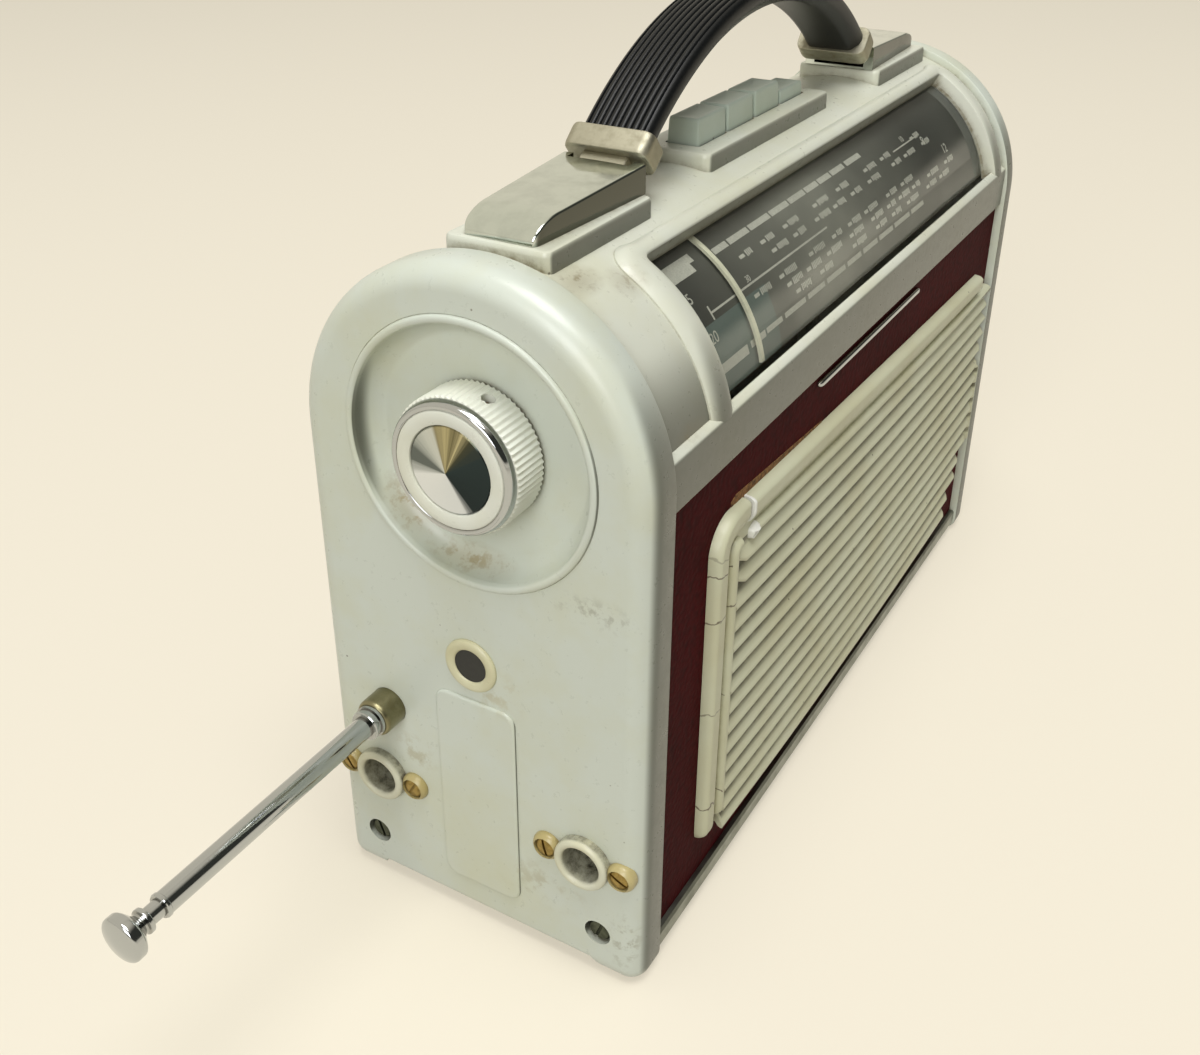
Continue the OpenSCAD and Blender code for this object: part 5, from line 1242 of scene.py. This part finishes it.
finishes = (
    (redCloth, "rear_cover"),
    (darkPlastic, "bottom_plate port_plug battery_box"),
    (trimMetal, "bottom_trim"),
    (steelMetal, "cover_screws pointer_rail tuning_shaft volume_shaft capacitor_frame handle_pins chassis"),
    (steelMetal, "if_cans speaker_frame"),
    (darkSteel, "panel_screws"),
    (clothBlack, "speaker_cloth"),
    (pointerCream, "pointer"),
    (potMetal, "volume_control switch_bank"),
    (brassMetal, "capacitor_rotor"),
    (chrome, "antenna_outer_tube antenna_section_1 antenna_section_2 antenna_section_3"),
    (plain("rusted_grub_screw", "#6b5a40", 0.7, 0.2, grain=0.6, spread=0.4), "tuning_knob_screw"),
    # The contacts at the foot of the socket bores are coloured near black: painted shade
    (plain("shade_darkened_contact_brass", "#2e2516", 0.5, 0.3, depth=0.05, spread=0.4), "socket_contacts"),
    (plain("drive_drum_nylon", "#cfc9ae", 0.5, grain=3, depth=0.03), "drive_drum"),
    (plain("paper_phenolic_board", "#7a5a2e", 0.5, grain=2, depth=0.03, spread=0.2), "circuit_board"),
    (plain("sintered_ferrite", "#3a3a3c", 0.6, grain=0.5, depth=0.05), "ferrite_rod"),
    (plain("waxed_copper_winding", "#a8662c", 0.45, grain=0.4, depth=0.15, spread=0.3), "ferrite_coils"),
    (plain("moulded_nylon_clip", "#d8d3bd", 0.5, grain=3, depth=0.03), "ferrite_holders"),
    (plain("pressed_paper_cone", "#2f2a24", 0.85, grain=0.6, depth=0.1, spread=0.2), "speaker_cone"),
    (plain("enamelled_cell_jacket", "#5c6a74", 0.4, grain=5, depth=0.03), "batteries"),
)
for material, nodes in finishes:
    for node in nodes.split():
        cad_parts[node].data.materials.clear()
        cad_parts[node].data.materials.append(material)
print("frame finishes set")


# Floor, light and camera

paper = {"colour": "#eae2cf", "size": 40.0, "lit": 0.5, "own": 0.59}


def looking(mat):
    # 1 for rays that look, from the camera, by a mirror or through glass, and 0 for those that light
    rays = addNode(mat, "LightPath")
    first = maths(mat, "MAXIMUM", (rays, "Is Camera Ray"), (rays, "Is Glossy Ray"))
    return maths(mat, "MAXIMUM", first, (rays, "Is Transmission Ray"))


def floorMaterial(name):
    # Seamless pale paper: part of its colour takes the object's shadow, and the rest is its own for the
    # rays that see it, so that the paper shows as pale as it is however low the lamps are
    mat, shader = newMaterial(name, {"Roughness": 0.9, "Specular IOR Level": 0.0})
    colour = linear(paper["colour"])
    shader.inputs["Base Color"].default_value = tuple(c * paper["lit"] for c in colour[:3]) + (1.0,)
    shader.inputs["Emission Color"].default_value = colour
    link(mat, product(mat, looking(mat), paper["own"]), shader, "Emission Strength")
    return mat


floorMesh = bpy.data.meshes.new("floor")
half = paper["size"] / 2
corners = [(-half, -half, 0), (half, -half, 0), (half, half, 0), (-half, half, 0)]
floorMesh.from_pydata(corners, [], [(0, 1, 2, 3)])
floorMesh.materials.append(floorMaterial("pale_paper"))
floor = addObject("floor", floorMesh)

# Two backgrounds: an even one that lights, and the one that is looked at, by mirrors and through glass too:
# the paper's colour all round and low down, with a darker wall high up in front (towards -Y)
world = bpy.context.scene.world or bpy.data.worlds.new("studio")
bpy.context.scene.world = world
world.use_nodes = True
way = addNode(world, "SeparateXYZ", {0: (addNode(world, "TexCoord"), "Generated")})
rearward, overhead, low = (
    ranged(world, (way, axis), start, end, 0, 1, interpolation_type="SMOOTHSTEP")
    for axis, start, end in (("Y", -0.25, 0.3), ("Z", 0.7, 0.95), ("Z", 0.16, 0.06))
)
pale = maths(world, "MAXIMUM", maths(world, "MAXIMUM", rearward, overhead), low)
room = mixed(world, pale, "#3f403a", paper["colour"])
even = addNode(world, "Background", {"Color": linear("#e6e4da"), "Strength": 0.26})
shown = addNode(world, "Background", {"Color": room, "Strength": 1.0})
final = addNode(world, "MixShader", {0: looking(world), 1: even, 2: shown})
link(world, final, world.node_tree.nodes["World Output"], "Surface")

lamps = {
    # name: place, width and height (m), power (W); each is aimed at `aim`
    "left_softbox": ((-2.65, -0.6, 1.5), (1.5, 1.5), 45.0),
    "skylight": ((-0.35, -0.35, 2.6), (1.4, 1.4), 50.0),
}
aim = Vector((0, 0, 0.1))
for name, (place, size, power) in lamps.items():
    lamp = bpy.data.lights.new(name, "AREA")
    lamp.shape, lamp.size, lamp.size_y, lamp.energy = "RECTANGLE", *size, power
    holder = addObject(name, lamp)
    holder.location = place
    holder.rotation_euler = (aim - Vector(place)).to_track_quat("-Z", "Y").to_euler()

view = {
    "imageWidth": 1200, "imageHeight": 1055, "focal": 1327.9, "centreX": 559.4, "centreY": 467.2,  # pixels
    "azimuth": -57.99, "elevation": 28.75, "roll": -0.63, "place": (-363.7, -163.3, 296.6), "sensor": 36.0,
}
azimuth, elevation, roll = (math.radians(view[k]) for k in ("azimuth", "elevation", "roll"))
c = math.cos(elevation)
back = np.array([math.sin(azimuth) * c, -math.cos(azimuth) * c, math.sin(elevation)])
right = np.cross([0, 0, 1], back)
right /= np.linalg.norm(right)
upward = np.cross(back, right)
c, s = math.cos(roll), math.sin(roll)
right, upward = right * c + upward * s, upward * c - right * s
cameraData = bpy.data.cameras.new("camera")
cameraData.sensor_width = view["sensor"]
cameraData.lens = view["focal"] / view["imageWidth"] * view["sensor"]
cameraData.shift_x = (view["imageWidth"] / 2 - view["centreX"]) / view["imageWidth"]
cameraData.shift_y = (view["centreY"] - view["imageHeight"] / 2) / view["imageWidth"]
cameraData.clip_start = 0.01
camera = addObject("camera", cameraData)
placed = np.array(view["place"]) * mm + caseMiddle
camera.matrix_world = Matrix([[right[k], upward[k], back[k], placed[k]] for k in range(3)] + [[0, 0, 0, 1]])
bpy.context.scene.camera = camera
bpy.context.scene.view_settings.view_transform = "Standard"
print("floor, light and camera set")
